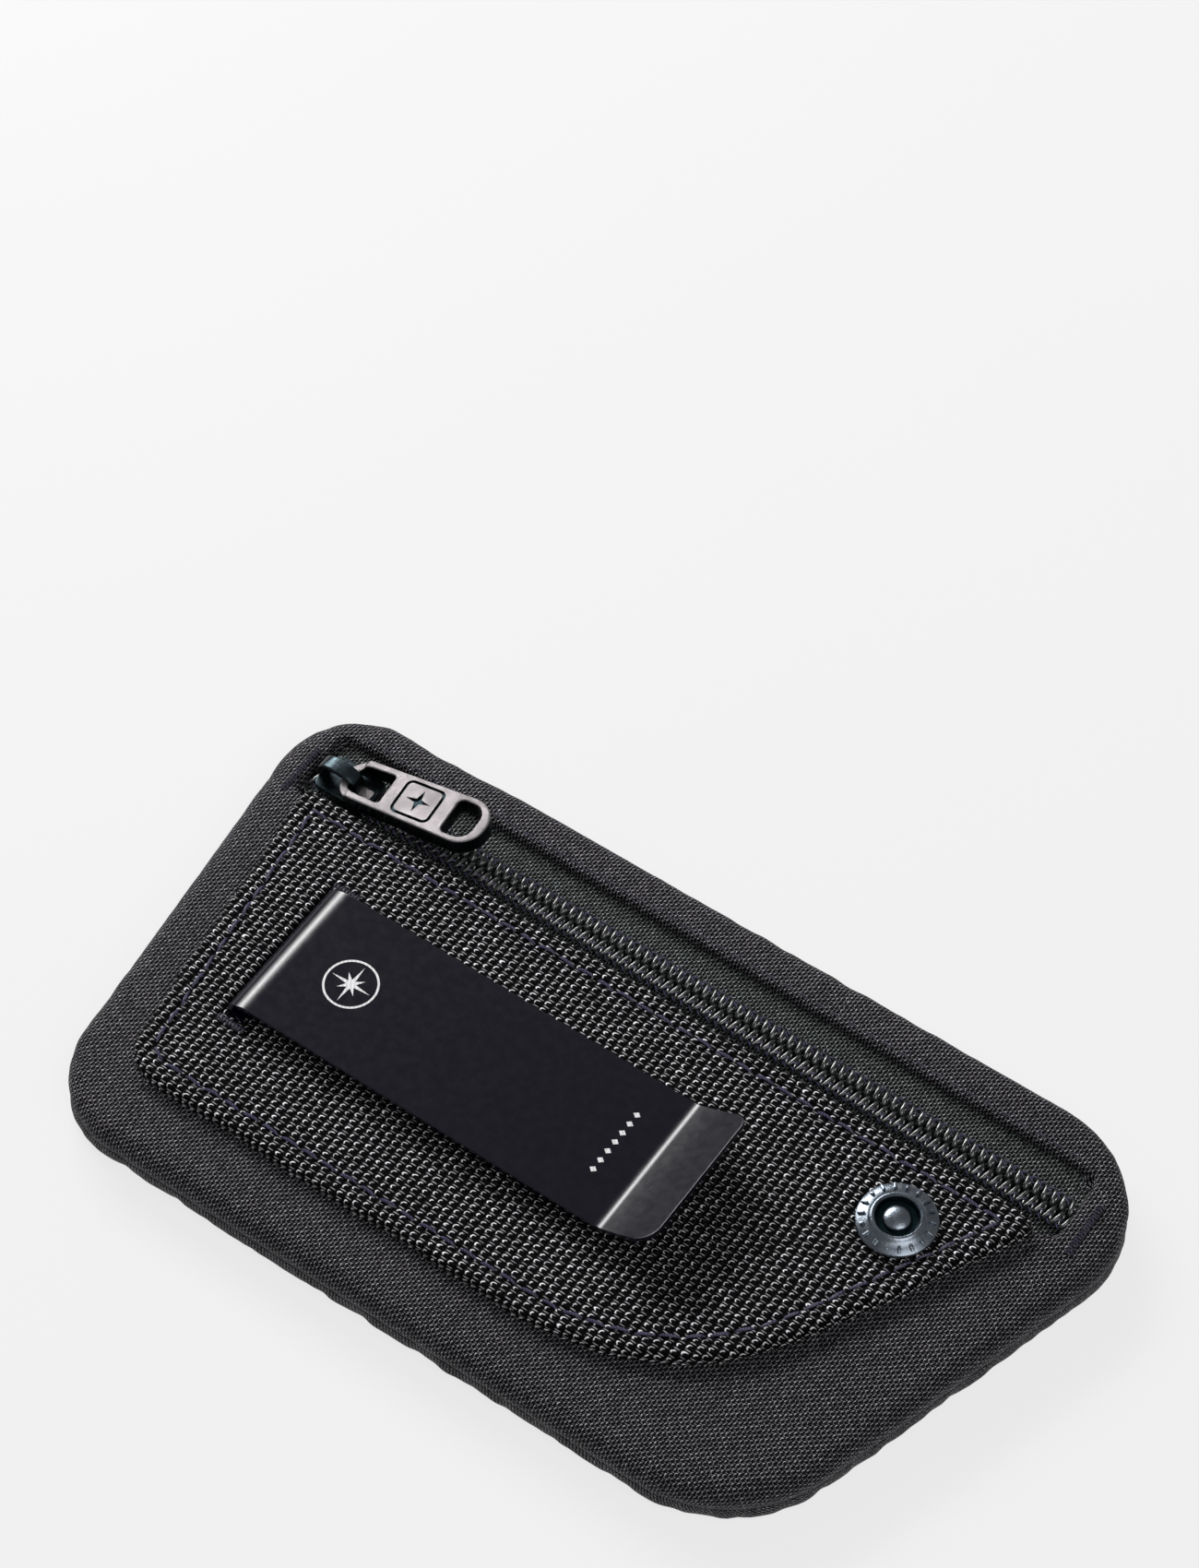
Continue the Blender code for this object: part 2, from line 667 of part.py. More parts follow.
def build_rivet(cap_metal, post_metal):
    seat = RIVET_SEAT
    cap_profile = (
        (RIVET_HOLE_RADIUS, seat),
        (RIVET_FLANGE_RADIUS - 0.25 * MM, seat),
        (RIVET_FLANGE_RADIUS, seat + 0.3 * MM),
        (RIVET_FLANGE_RADIUS - 0.3 * MM, seat + 0.7 * MM),
        (3.6 * MM, seat + 1.05 * MM),
        (3.15 * MM, seat + 1.45 * MM),
        (2.85 * MM, seat + 1.5 * MM),
        (2.6 * MM, seat + 1.25 * MM),
        (2.4 * MM, seat + 0.6 * MM),
        (RIVET_HOLE_RADIUS, seat + 0.5 * MM),
    )
    bm = turned_mesh(cap_profile, rivet_centre())
    add_object("rivet_cap", bm, cap_metal, PARTS)
    head = seat + RIVET_HEAD_LIFT
    base_low, base_high = RIVET_BASE
    post_profile = (
        (0.0, base_low),
        (RIVET_BASE_RADIUS - 0.2 * MM, base_low),
        (RIVET_BASE_RADIUS, base_low + 0.3 * MM),
        (RIVET_BASE_RADIUS - 0.2 * MM, base_high),
        (RIVET_SHANK_RADIUS, base_high),
        (RIVET_SHANK_RADIUS, head),
        (RIVET_HEAD_RADIUS, head),
        (RIVET_HEAD_RADIUS, head + 0.25 * MM),
        (RIVET_HEAD_RADIUS * 0.75, head + 0.6 * MM),
        (RIVET_HEAD_RADIUS * 0.4, head + 0.75 * MM),
        (0.0, head + 0.8 * MM),
    )
    bm = turned_mesh(post_profile, rivet_centre())
    add_object("rivet_post", bm, post_metal, PARTS)


# ---------------------------------------------------------------- thread


def ring_prism(arcs, inset, width, bottom, height):
    """A closed line of thread that follows an outline."""
    thread = prism_mesh(ring_points(arcs, inset), bottom, bottom + height)
    inner = ring_points(arcs, inset + width)
    cutter = prism_mesh(inner, bottom - CUT_PAST, bottom + CUT_PAST)
    return thread, cutter


def build_threads(thread):
    arcs = corner_arcs(PATCH_CORNERS)
    on_patch = PATCH_TOP + THREAD_LIFT
    outline, inner = ring_prism(
        arcs, HEM_STITCH_INSET, THREAD_WIDTH, on_patch, THREAD_HEIGHT
    )
    seam = add_object("patch_seam_thread", outline, thread, PARTS)
    boolean(seam, add_cutter("patch_seam_inner", inner))
    on_panel = POUCH_THICKNESS + THREAD_LIFT
    half = THREAD_WIDTH / 2.0
    seam_line = (*SEAM_LINE_X, SEAM_LINE_Y - half, SEAM_LINE_Y + half)
    add_thread("zip_seam_thread", box_corners(*seam_line, SMALL_CORNER), on_panel, thread)
    half = TACK_WIDTH / 2.0
    for name, (x, low, high) in (("bartack_left", TACK_LEFT), ("bartack_right", TACK_RIGHT)):
        tack = box_corners(x - half, x + half, low, high, TACK_CORNER)
        add_thread(name, tack, on_panel, thread)
    near = CLIP_WIDTH / 2.0 + CLIP_SLOT_MARGIN + CLIP_TACK_GAP
    ends = (CLIP_SLOT_X[0], CLIP_SLOT_X[1] + CLIP_TACK_PAST_SLOT)
    for name, side in (("clip_tack_upper", 1), ("clip_tack_lower", -1)):
        low, high = sorted(CLIP_Y + side * reach for reach in (near, near + TACK_WIDTH))
        tack = box_corners(*ends, low, high, TACK_CORNER)
        add_thread(name, tack, on_patch, thread)


def add_thread(name, corners, bottom, thread):
    points = ring_points(corner_arcs(corners), steps=3)
    bm = prism_mesh(points, bottom, bottom + THREAD_HEIGHT)
    add_object(name, bm, thread, PARTS)


def build_all():
    panel_fabric = principled("panel_fabric", (0.036, 0.034, 0.038), 0.85)
    patch_fabric = principled("patch_fabric", (0.030, 0.029, 0.032), 0.75)
    tape_weave = principled("tape_weave", (0.024, 0.026, 0.028), 0.8)
    coil_nylon = principled("coil_nylon", (0.020, 0.022, 0.024), 0.4)
    cast_metal = principled("slider_metal", (0.070, 0.085, 0.088), 0.35, 0.9)
    puller_metal = principled("puller_metal", (0.42, 0.40, 0.42), 0.4, 0.9)
    clip_steel = principled("clip_steel", (0.028, 0.023, 0.034), 0.32, 0.9)
    rivet_metal = principled("rivet_metal", (0.13, 0.16, 0.18), 0.3, 0.95)
    post_metal = principled("rivet_post_metal", (0.18, 0.21, 0.23), 0.3, 0.95)
    sewing = principled("sewing_thread", (0.055, 0.050, 0.085), 0.6)
    panels = build_panels(panel_fabric)
    cut_front_openings(panels["front_panel"])
    build_zip(tape_weave, coil_nylon)
    slider = build_slider(cast_metal)
    for carried in (build_crown(cast_metal), build_puller(puller_metal)):
        hang_from(carried, slider, slider_origin())
    build_patch(patch_fabric)
    build_clip(clip_steel)
    build_rivet(rivet_metal, post_metal)
    build_threads(sewing)


clear_scene()
PARTS = new_collection("money_belt_pouch")
CUTTERS = new_collection("cutters")
build_all()
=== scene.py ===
"""Money belt: a flat zipped pouch with a woven patch, a folded steel clip and a rivet.

All sizes are in millimetres until a piece is finished, in the frame's own axes: X runs along
the zip from the slider to the rivet, Y across to the zip's side, and Z out of the front.
"""

import logging
import math
from collections.abc import Callable, Sequence
from dataclasses import dataclass
from enum import Enum

import bmesh
import bpy
import numpy as np
from mathutils import Matrix, Vector


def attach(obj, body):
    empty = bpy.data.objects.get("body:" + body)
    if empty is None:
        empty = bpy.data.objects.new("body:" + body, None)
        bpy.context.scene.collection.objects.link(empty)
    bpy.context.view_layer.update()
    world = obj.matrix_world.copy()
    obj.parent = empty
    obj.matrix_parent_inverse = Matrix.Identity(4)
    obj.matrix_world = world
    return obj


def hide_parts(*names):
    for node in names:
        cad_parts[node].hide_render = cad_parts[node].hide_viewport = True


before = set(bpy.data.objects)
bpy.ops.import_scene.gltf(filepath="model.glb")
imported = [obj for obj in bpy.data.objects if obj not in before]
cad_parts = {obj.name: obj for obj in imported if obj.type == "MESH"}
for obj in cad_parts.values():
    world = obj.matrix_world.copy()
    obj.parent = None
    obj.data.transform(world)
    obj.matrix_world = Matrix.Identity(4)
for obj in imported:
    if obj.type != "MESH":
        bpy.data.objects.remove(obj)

MM = 0.001
CLOTH_UV = "cloth"

log = logging.getLogger("money_belt")

Corner = tuple[float, float, float]
Colour = tuple[float, float, float]
Socket = bpy.types.NodeSocket
Value = float | Socket


class Body(Enum):
    """The moving bodies that a piece can ride on."""

    POUCH = "pouch"
    SLIDER = "slider"
    PULLER = "puller"
    CLIP = "clip_arm"


# ---------------------------------------------------------------- outlines and meshes


class Outline:
    """A closed convex outline of straight edges and rounded corners, counter-clockwise."""

    def __init__(
        self,
        corners: Sequence[Corner],
        inset: float = 0.0,
        steps: int = 14,
        centred: bool = False,
    ) -> None:
        """Args:
        corners: x, y and radius of each corner.
        inset: How far inside the corners the outline runs.
        steps: Straight steps round each corner.
        centred: Moves the outline so that its box is centred on the origin.
        """
        points: list[np.ndarray] = []
        normals: list[np.ndarray] = []
        for index, (x, y, radius) in enumerate(corners):
            here = np.array((x, y))
            came = here - np.array(corners[index - 1][:2])
            goes = np.array(corners[(index + 1) % len(corners)][:2]) - here
            came, goes = came / np.linalg.norm(came), goes / np.linalg.norm(goes)
            turn = math.atan2(came[0] * goes[1] - came[1] * goes[0], came @ goes)
            radius = max(radius, inset + 0.1)
            left = np.array((-came[1], came[0]))
            hub = here - came * radius * math.tan(turn / 2.0) + left * radius
            for step in range(steps + 1):
                angle = turn * step / steps
                cos, sin = math.cos(angle), math.sin(angle)
                out = np.array((-left[0] * cos + left[1] * sin, -left[0] * sin - left[1] * cos))
                points.append(hub + out * (radius - inset))
                normals.append(out)
        self.points = np.array(points)
        self.normals = np.array(normals)
        if centred:
            self.points -= (self.points.max(0) + self.points.min(0)) / 2.0

    def measure(self, places: np.ndarray) -> tuple[np.ndarray, np.ndarray, np.ndarray]:
        """Finds each place's nearest point on the outline.

        Args:
            places: N places as an (N, 2) array.

        Returns:
            Distance outside the outline, outward direction, and how far round it is.
        """
        start = self.points
        run = np.roll(start, -1, axis=0) - start
        length2 = (run**2).sum(1) + 1e-12
        round_to = np.concatenate(([0.0], np.cumsum(np.sqrt(length2))))
        distance = np.empty(len(places))
        outward = np.empty((len(places), 2))
        along = np.empty(len(places))
        next_normals = np.roll(self.normals, -1, axis=0)
        for low in range(0, len(places), 8192):
            part = places[low : low + 8192]
            gap = part[:, None, :] - start
            share = np.clip((gap * run).sum(2) / length2, 0.0, 1.0)
            gap = gap - share[..., None] * run
            near = (gap**2).sum(2).argmin(1)
            rows = np.arange(len(part))
            share, gap = share[rows, near][:, None], gap[rows, near]
            normal = self.normals[near] * (1.0 - share) + next_normals[near] * share
            normal /= np.linalg.norm(normal, axis=1)[:, None]
            side = np.sign((gap * normal).sum(1))
            distance[low : low + 8192] = side * np.linalg.norm(gap, axis=1)
            outward[low : low + 8192] = normal
            along[low : low + 8192] = round_to[near] + share[:, 0] * np.sqrt(length2[near])
        return distance, outward, along

    def area(self, reach: float) -> float:
        """The area inside a line that runs the given distance outside the outline.

        Args:
            reach: How far outside.

        Returns:
            Square millimetres.
        """
        ahead = np.roll(self.points, -1, axis=0)
        inside = 0.5 * float((self.points[:, 0] * ahead[:, 1] - ahead[:, 0] * self.points[:, 1]).sum())
        return inside + reach * float(np.linalg.norm(ahead - self.points, axis=1).sum()) + math.pi * reach**2

    def walk(self, spacing: float) -> list[tuple[np.ndarray, float]]:
        """Evenly spaced places round the outline.

        Args:
            spacing: The least distance between places.

        Returns:
            Each place and the heading of the outline there, in radians.
        """
        closed = np.vstack((self.points, self.points[:1]))
        steps = np.linalg.norm(np.diff(closed, axis=0), axis=1)
        round_to = np.concatenate(([0.0], np.cumsum(steps)))
        count = int(round_to[-1] / spacing)
        found = []
        for index in range(count):
            ends = [(index + shift) * round_to[-1] / count for shift in (-0.2, 0.0, 0.2)]
            at = [
                np.array([np.interp(e % round_to[-1], round_to, closed[:, k]) for k in (0, 1)])
                for e in ends
            ]
            heading = at[2] - at[0]
            found.append((at[1], math.atan2(heading[1], heading[0])))
        return found


def box_corners(x0: float, x1: float, y0: float, y1: float, radius: float) -> tuple[Corner, ...]:
    """A rectangle's four corners, all of one radius."""
    return ((x0, y0, radius), (x1, y0, radius), (x1, y1, radius), (x0, y1, radius))


def smooth_step(value: np.ndarray, low: float, high: float) -> np.ndarray:
    """0 below low, 1 above high, and a smooth turn between them."""
    share = np.clip((value - low) / (high - low), 0.0, 1.0)
    return share * share * (3.0 - 2.0 * share)


def add_ring(bm: bmesh.types.BMesh, points: np.ndarray, z: float) -> list[bmesh.types.BMEdge]:
    """Adds a closed ring of edges at height z."""
    verts = [bm.verts.new((x, y, z)) for x, y in points]
    return [bm.edges.new((v, verts[(i + 1) % len(verts)])) for i, v in enumerate(verts)]


def plate(
    outline: np.ndarray,
    low: float,
    high: float,
    holes: Sequence[np.ndarray] = (),
    edge: float = 0.0,
    segments: int = 2,
) -> bmesh.types.BMesh:
    """A flat plate with holes and rounded edges.

    Args:
        outline: The plate's outline.
        low: Height of its under side.
        high: Height of its top.
        holes: Outlines of its holes.
        edge: Width of the rounding of every rim.
        segments: Steps in that rounding.

    Returns:
        The closed plate.
    """
    bm = bmesh.new()
    rim = add_ring(bm, outline, high)
    for hole in holes:
        rim += add_ring(bm, hole, high)
    if holes:
        bmesh.ops.triangle_fill(bm, use_beauty=True, use_dissolve=False, edges=rim)
    else:
        bmesh.ops.contextual_create(bm, geom=rim)
    for face in bm.faces:
        if face.normal.z < 0.0:
            face.normal_flip()
    extruded = bmesh.ops.extrude_face_region(bm, geom=bm.faces[:], use_keep_orig=True)
    lower = [g for g in extruded["geom"] if isinstance(g, bmesh.types.BMVert)]
    bmesh.ops.translate(bm, verts=lower, vec=(0.0, 0.0, low - high))
    bmesh.ops.recalc_face_normals(bm, faces=bm.faces[:])
    if edge:
        round_edges(bm, edge, segments)
    return bm


def round_edges(bm: bmesh.types.BMesh, width: float, segments: int, angle: float = 40.0) -> None:
    """Rounds every edge that turns by more than angle degrees."""
    sharp = [
        e for e in bm.edges if e.is_manifold and e.calc_face_angle(0.0) > math.radians(angle)
    ]
    bmesh.ops.bevel(
        bm,
        geom=sharp,
        offset=width,
        offset_type="OFFSET",
        segments=segments,
        profile=0.5,
        affect="EDGES",
        material=-1,
        clamp_overlap=True,
    )


def side_profile(profile: Sequence[tuple[float, float]], low: float, high: float) -> bmesh.types.BMesh:
    """A closed solid drawn from the side, in X and Z, and carried across from low to high Y.

    Args:
        profile: X and Z of each corner.
        low: The near side, in Y.
        high: The far side, in Y.

    Returns:
        The solid.
    """
    bm = bmesh.new()
    face = bm.faces.new([bm.verts.new((x, low, z)) for x, z in profile])
    extruded = bmesh.ops.extrude_face_region(bm, geom=[face], use_keep_orig=True)
    far = [g for g in extruded["geom"] if isinstance(g, bmesh.types.BMVert)]
    bmesh.ops.translate(bm, verts=far, vec=(0.0, high - low, 0.0))
    bmesh.ops.recalc_face_normals(bm, faces=bm.faces[:])
    return bm


def turned(
    profile: Sequence[tuple[float, float]], centre: tuple[float, float], steps: int
) -> bmesh.types.BMesh:
    """A closed profile of radius and height, spun once round the vertical through centre.

    Args:
        profile: Radius and height of each corner.
        centre: X and Y of the axis.
        steps: Steps round the turn.

    Returns:
        The turned solid.
    """
    bm = bmesh.new()
    verts = [bm.verts.new((centre[0] + radius, centre[1], z)) for radius, z in profile]
    edges = [bm.edges.new(pair) for pair in zip(verts, verts[1:])]
    if min(radius for radius, _ in profile) > 0.0:
        edges.append(bm.edges.new((verts[-1], verts[0])))
    bmesh.ops.spin(
        bm,
        geom=verts + edges,
        cent=(*centre, 0.0),
        axis=(0.0, 0.0, 1.0),
        angle=2.0 * math.pi,
        steps=steps,
        use_merge=True,
    )
    bmesh.ops.remove_doubles(bm, verts=bm.verts[:], dist=1e-4)
    bmesh.ops.recalc_face_normals(bm, faces=bm.faces[:])
    return bm


def tube(points: Sequence[Vector], radii: Sequence[float], sides: int = 6) -> bmesh.types.BMesh:
    """A round strand through points, closed at both ends.

    Args:
        points: Places along the strand.
        radii: The strand's radius at each.
        sides: Steps round it.

    Returns:
        The closed strand.
    """
    bm = bmesh.new()
    rings = []
    for index, (point, radius) in enumerate(zip(points, radii)):
        ahead = points[min(index + 1, len(points) - 1)] - points[max(index - 1, 0)]
        turn = ahead.to_track_quat("Z", "Y").to_matrix().to_4x4()
        place = Matrix.Translation(point) @ turn
        made = bmesh.ops.create_circle(bm, cap_ends=False, segments=sides, radius=radius, matrix=place)
        ring = set(made["verts"])
        rings.append([e for e in bm.edges if e.verts[0] in ring and e.verts[1] in ring])
    for near, far in zip(rings, rings[1:]):
        bmesh.ops.bridge_loops(bm, edges=near + far)
    for end in (rings[0], rings[-1]):
        bmesh.ops.contextual_create(bm, geom=end)
    bmesh.ops.recalc_face_normals(bm, faces=bm.faces[:])
    return bm


def copies(template: bmesh.types.BMesh, places: Sequence[Matrix]) -> bmesh.types.BMesh:
    """The template repeated at each place, as one mesh.

    Args:
        template: The mesh to repeat, which is freed.
        places: Where each copy goes.

    Returns:
        All the copies in one mesh.
    """
    mesh = bpy.data.meshes.new("template")
    template.to_mesh(mesh)
    template.free()
    bm = bmesh.new()
    for place in places:
        before = len(bm.verts)
        bm.from_mesh(mesh)
        bm.verts.ensure_lookup_table()
        bmesh.ops.transform(bm, matrix=place, verts=bm.verts[before:])
    bpy.data.meshes.remove(mesh)
    return bm


def join(target: bmesh.types.BMesh, *others: bmesh.types.BMesh) -> bmesh.types.BMesh:
    """Adds the others' meshes to target, and frees them."""
    for other in others:
        mesh = bpy.data.meshes.new("joined")
        other.to_mesh(mesh)
        other.free()
        target.from_mesh(mesh)
        bpy.data.meshes.remove(mesh)
    return target


def cut(target: bmesh.types.BMesh, cutter: bmesh.types.BMesh) -> bmesh.types.BMesh:
    """Target with the cutter taken out of it.

    Args:
        target: The mesh to cut.
        cutter: The mesh to take away.

    Returns:
        What is left.
    """
    objects = []
    for name, bm in (("cut_target", target), ("cutter", cutter)):
        mesh = bpy.data.meshes.new(name)
        bm.to_mesh(mesh)
        bm.free()
        obj = bpy.data.objects.new(name, mesh)
        bpy.context.scene.collection.objects.link(obj)
        objects.append(obj)
    modifier = objects[0].modifiers.new("cut", "BOOLEAN")
    modifier.object = objects[1]
    modifier.operation = "DIFFERENCE"
    modifier.solver = "EXACT"
    bpy.context.view_layer.update()
    evaluated = objects[0].evaluated_get(bpy.context.evaluated_depsgraph_get())
    result = bmesh.new()
    result.from_mesh(evaluated.to_mesh())
    evaluated.to_mesh_clear()
    for obj in objects:
        mesh = obj.data
        bpy.data.objects.remove(obj)
        bpy.data.meshes.remove(mesh)
    return result


def cloth_grid(
    xs: np.ndarray,
    ys: np.ndarray,
    shape: Callable[[np.ndarray], tuple[np.ndarray, np.ndarray]],
) -> bmesh.types.BMesh:
    """A sheet drawn flat on a grid, then folded into place.

    Args:
        xs: The grid's columns in the flat cloth.
        ys: Its rows.
        shape: Turns flat places into places in space, and says how far each is past the cut edge.

    Returns:
        The folded sheet, whose UV map keeps the flat places, in millimetres.
    """
    bm = bmesh.new()
    bmesh.ops.create_grid(bm, x_segments=len(xs) - 1, y_segments=len(ys) - 1, size=0.5)
    unit = np.array([v.co[:2] for v in bm.verts]) + 0.5
    columns = np.rint(unit[:, 0] * (len(xs) - 1)).astype(int)
    rows = np.rint(unit[:, 1] * (len(ys) - 1)).astype(int)
    flat = np.stack((xs[columns], ys[rows]), axis=1)
    places, past = shape(flat)
    layer = bm.loops.layers.uv.new(CLOTH_UV)
    gone = []
    for face in bm.faces:
        indices = [v.index for v in face.verts]
        if past[indices].min() > 1e-6:
            gone.append(face)
            continue
        for loop, index in zip(face.loops, indices):
            loop[layer].uv = flat[index]
    for vert in bm.verts:
        vert.co = places[vert.index]
    bmesh.ops.delete(bm, geom=gone, context="FACES")
    return bm


def add_piece(
    name: str,
    bm: bmesh.types.BMesh,
    finishes: bpy.types.Material | Sequence[bpy.types.Material],
    body: Body,
    replaces: Sequence[str] = (),
    sharp: float = 40.0,
) -> bpy.types.Object:
    """Finishes a piece: to metres, shaded, painted and riding on its body.

    Args:
        name: The piece's name.
        bm: Its mesh in millimetres, which is freed.
        finishes: Its finish, or several that its faces choose from.
        body: The body it rides on.
        replaces: The plain solids it stands for.
        sharp: Edges that turn by more than this many degrees stay crisp.

    Returns:
        The piece.
    """
    bm.transform(Matrix.Scale(MM, 4))
    mesh = bpy.data.meshes.new(name)
    bm.to_mesh(mesh)
    bm.free()
    mesh.shade_smooth()
    mesh.set_sharp_from_angle(angle=math.radians(sharp))
    for finish in finishes if isinstance(finishes, (list, tuple)) else [finishes]:
        mesh.materials.append(finish)
    obj = bpy.data.objects.new(name, mesh)
    bpy.context.scene.collection.objects.link(obj)
    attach(obj, body.value)
    if replaces:
        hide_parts(*replaces)
    log.info("%s: %d faces", name, len(mesh.polygons))
    return obj


def flatten(piece: bpy.types.Object) -> bpy.types.Object:
    """Keeps a hard piece's broad faces flat beside their rounded edges."""
    add_modifier(piece, "WEIGHTED_NORMAL", keep_sharp=True, weight=80)
    return piece


def add_modifier(obj: bpy.types.Object, kind: str, **settings: float | int | bool | str) -> None:
    """Adds a live modifier with the given settings."""
    modifier = obj.modifiers.new(kind.lower(), kind)
    for key, value in settings.items():
        setattr(modifier, key, value)


# ---------------------------------------------------------------- finishes


class Finish:
    """Shorthand for one procedural material."""

    def __init__(self, name: str, roughness: float, metallic: float = 0.0, specular: float = 0.5) -> None:
        """Args:
        name: The material's name.
        roughness: Its roughness where nothing else drives it.
        metallic: 1 for bare metal.
        specular: Strength of the clear reflection.
        """
        self.material = bpy.data.materials.new(name)
        self.material.use_nodes = True
        self.tree = self.material.node_tree
        self.shader = self.tree.nodes["Principled BSDF"]
        self.shader.inputs["Roughness"].default_value = roughness
        self.shader.inputs["Metallic"].default_value = metallic
        self.shader.inputs["Specular IOR Level"].default_value = specular

    def feed(self, socket: Socket, value: Value | Sequence[float]) -> None:
        """Links a socket, or sets it."""
        if isinstance(value, bpy.types.NodeSocket):
            self.tree.links.new(value, socket)
        else:
            socket.default_value = value

    def math(self, operation: str, *values: Value) -> Socket:
        """One arithmetic step.

        Args:
            operation: The sum to do.
            values: What it is done to.

        Returns:
            Its result.
        """
        node = self.tree.nodes.new("ShaderNodeMath")
        node.operation = operation
        for socket, value in zip(node.inputs, values):
            self.feed(socket, value)
        return node.outputs[0]

    def place(self, uv: bool = False, stretch: Sequence[float] = (1.0, 1.0, 1.0)) -> Socket:
        """Where the surface is, in millimetres.

        Args:
            uv: Reads the cloth's flat places and not the object's own.
            stretch: How much each direction is multiplied.

        Returns:
            The place as a vector.
        """
        if uv:
            node = self.tree.nodes.new("ShaderNodeUVMap")
            node.uv_map = CLOTH_UV
            source, unit = node.outputs["UV"], 1.0
        else:
            node = self.tree.nodes.new("ShaderNodeTexCoord")
            source, unit = node.outputs["Object"], 1.0 / MM
        scale = self.tree.nodes.new("ShaderNodeMapping")
        self.feed(scale.inputs["Vector"], source)
        scale.inputs["Scale"].default_value = [unit * s for s in stretch]
        return scale.outputs["Vector"]

    def split(self, vector: Socket) -> tuple[Socket, Socket, Socket]:
        """A vector's three parts.

        Args:
            vector: A place.

        Returns:
            Its three parts.
        """
        node = self.tree.nodes.new("ShaderNodeSeparateXYZ")
        self.feed(node.inputs[0], vector)
        return node.outputs[0], node.outputs[1], node.outputs[2]

    def noise(self, vector: Socket, scale: float, detail: float = 2.0, rough: float = 0.5) -> Socket:
        """Smooth noise from 0 to 1.

        Args:
            vector: The place.
            scale: Lumps for each millimetre.
            detail: How many finer layers.
            rough: How strong they are.

        Returns:
            A value from 0 to 1.
        """
        node = self.tree.nodes.new("ShaderNodeTexNoise")
        self.feed(node.inputs["Vector"], vector)
        node.inputs["Scale"].default_value = scale
        node.inputs["Detail"].default_value = detail
        node.inputs["Roughness"].default_value = rough
        return node.outputs["Fac"]

    def cells(self, vector: Socket, scale: float) -> Socket:
        """Distance from the middle of irregular grains.

        Args:
            vector: The place.
            scale: Grains for each millimetre.

        Returns:
            Distance from the nearest grain's centre.
        """
        node = self.tree.nodes.new("ShaderNodeTexVoronoi")
        self.feed(node.inputs["Vector"], vector)
        node.inputs["Scale"].default_value = scale
        return node.outputs["Distance"]

    def chance(self, one: Value, two: Value = 0.0) -> Socket:
        """A random number for each pair of whole numbers.

        Args:
            one: The first number.
            two: The second number.

        Returns:
            A value from 0 to 1, the same each time.
        """
        join_node = self.tree.nodes.new("ShaderNodeCombineXYZ")
        self.feed(join_node.inputs[0], one)
        self.feed(join_node.inputs[1], two)
        node = self.tree.nodes.new("ShaderNodeTexWhiteNoise")
        self.feed(node.inputs["Vector"], join_node.outputs[0])
        return node.outputs["Value"]

    def spread(self, value: Value, low: float, high: float, to_low: Value, to_high: Value) -> Socket:
        """Carries value from one range to another, clamped and eased.

        Args:
            value: What is carried over.
            low: Where it starts.
            high: Where it ends.
            to_low: The result at the start.
            to_high: The result at the end.

        Returns:
            The result, kept between its ends.
        """
        node = self.tree.nodes.new("ShaderNodeMapRange")
        node.interpolation_type = "SMOOTHSTEP"
        for socket, given in zip(node.inputs, (value, low, high, to_low, to_high)):
            self.feed(socket, given)
        return node.outputs[0]

    def ramp(self, share: Value, stops: Sequence[tuple[float, Colour]]) -> Socket:
        """A colour chosen along a scale.

        Args:
            share: Where along the ramp.
            stops: Places along it and their colours.

        Returns:
            The colour.
        """
        node = self.tree.nodes.new("ShaderNodeValToRGB")
        self.feed(node.inputs[0], share)
        marks = node.color_ramp.elements
        while len(marks) < len(stops):
            marks.new(0.5)
        for mark, (position, colour) in zip(marks, stops):
            mark.position = position
            mark.color = (*colour, 1.0)
        return node.outputs[0]

    def mix(self, share: Value, first: Socket, second: Colour) -> Socket:
        """Part of the way from the first colour to the second.

        Args:
            share: How much of the second.
            first: The first colour.
            second: The second colour.

        Returns:
            The mixed colour.
        """
        node = self.tree.nodes.new("ShaderNodeMix")
        node.data_type = "RGBA"
        self.feed(node.inputs[0], share)
        self.feed(node.inputs[6], first)
        node.inputs[7].default_value = (*second, 1.0)
        return node.outputs[2]

    def bump(self, height: Value, depth: float) -> None:
        """Relief whose height, from 0 to 1, stands for depth millimetres.

        Args:
            height: The relief.
            depth: Its depth in millimetres.
        """
        node = self.tree.nodes.new("ShaderNodeBump")
        node.inputs["Strength"].default_value = 1.0
        node.inputs["Distance"].default_value = depth * MM
        self.feed(node.inputs["Height"], height)
        self.feed(self.shader.inputs["Normal"], node.outputs[0])

    def wear(self, colour: Socket | Colour, roughness: Socket | None = None) -> bpy.types.Material:
        """Connects colour and roughness, and hands the material over.

        Args:
            colour: The base colour.
            roughness: What drives the roughness, if anything.

        Returns:
            The finished material.
        """
        self.feed(
            self.shader.inputs["Base Color"],
            colour if isinstance(colour, bpy.types.NodeSocket) else (*colour, 1.0),
        )
        if roughness is not None:
            self.feed(self.shader.inputs["Roughness"], roughness)
        return self.material


@dataclass(frozen=True)
class Crossing:
    """Where a place lies beside the nearest crossing of two yarns."""

    column: Socket
    row: Socket
    aside: Socket
    above: Socket
    along_upright: Socket
    level_rise: Socket
    upright_on_top: Socket
    height: Socket


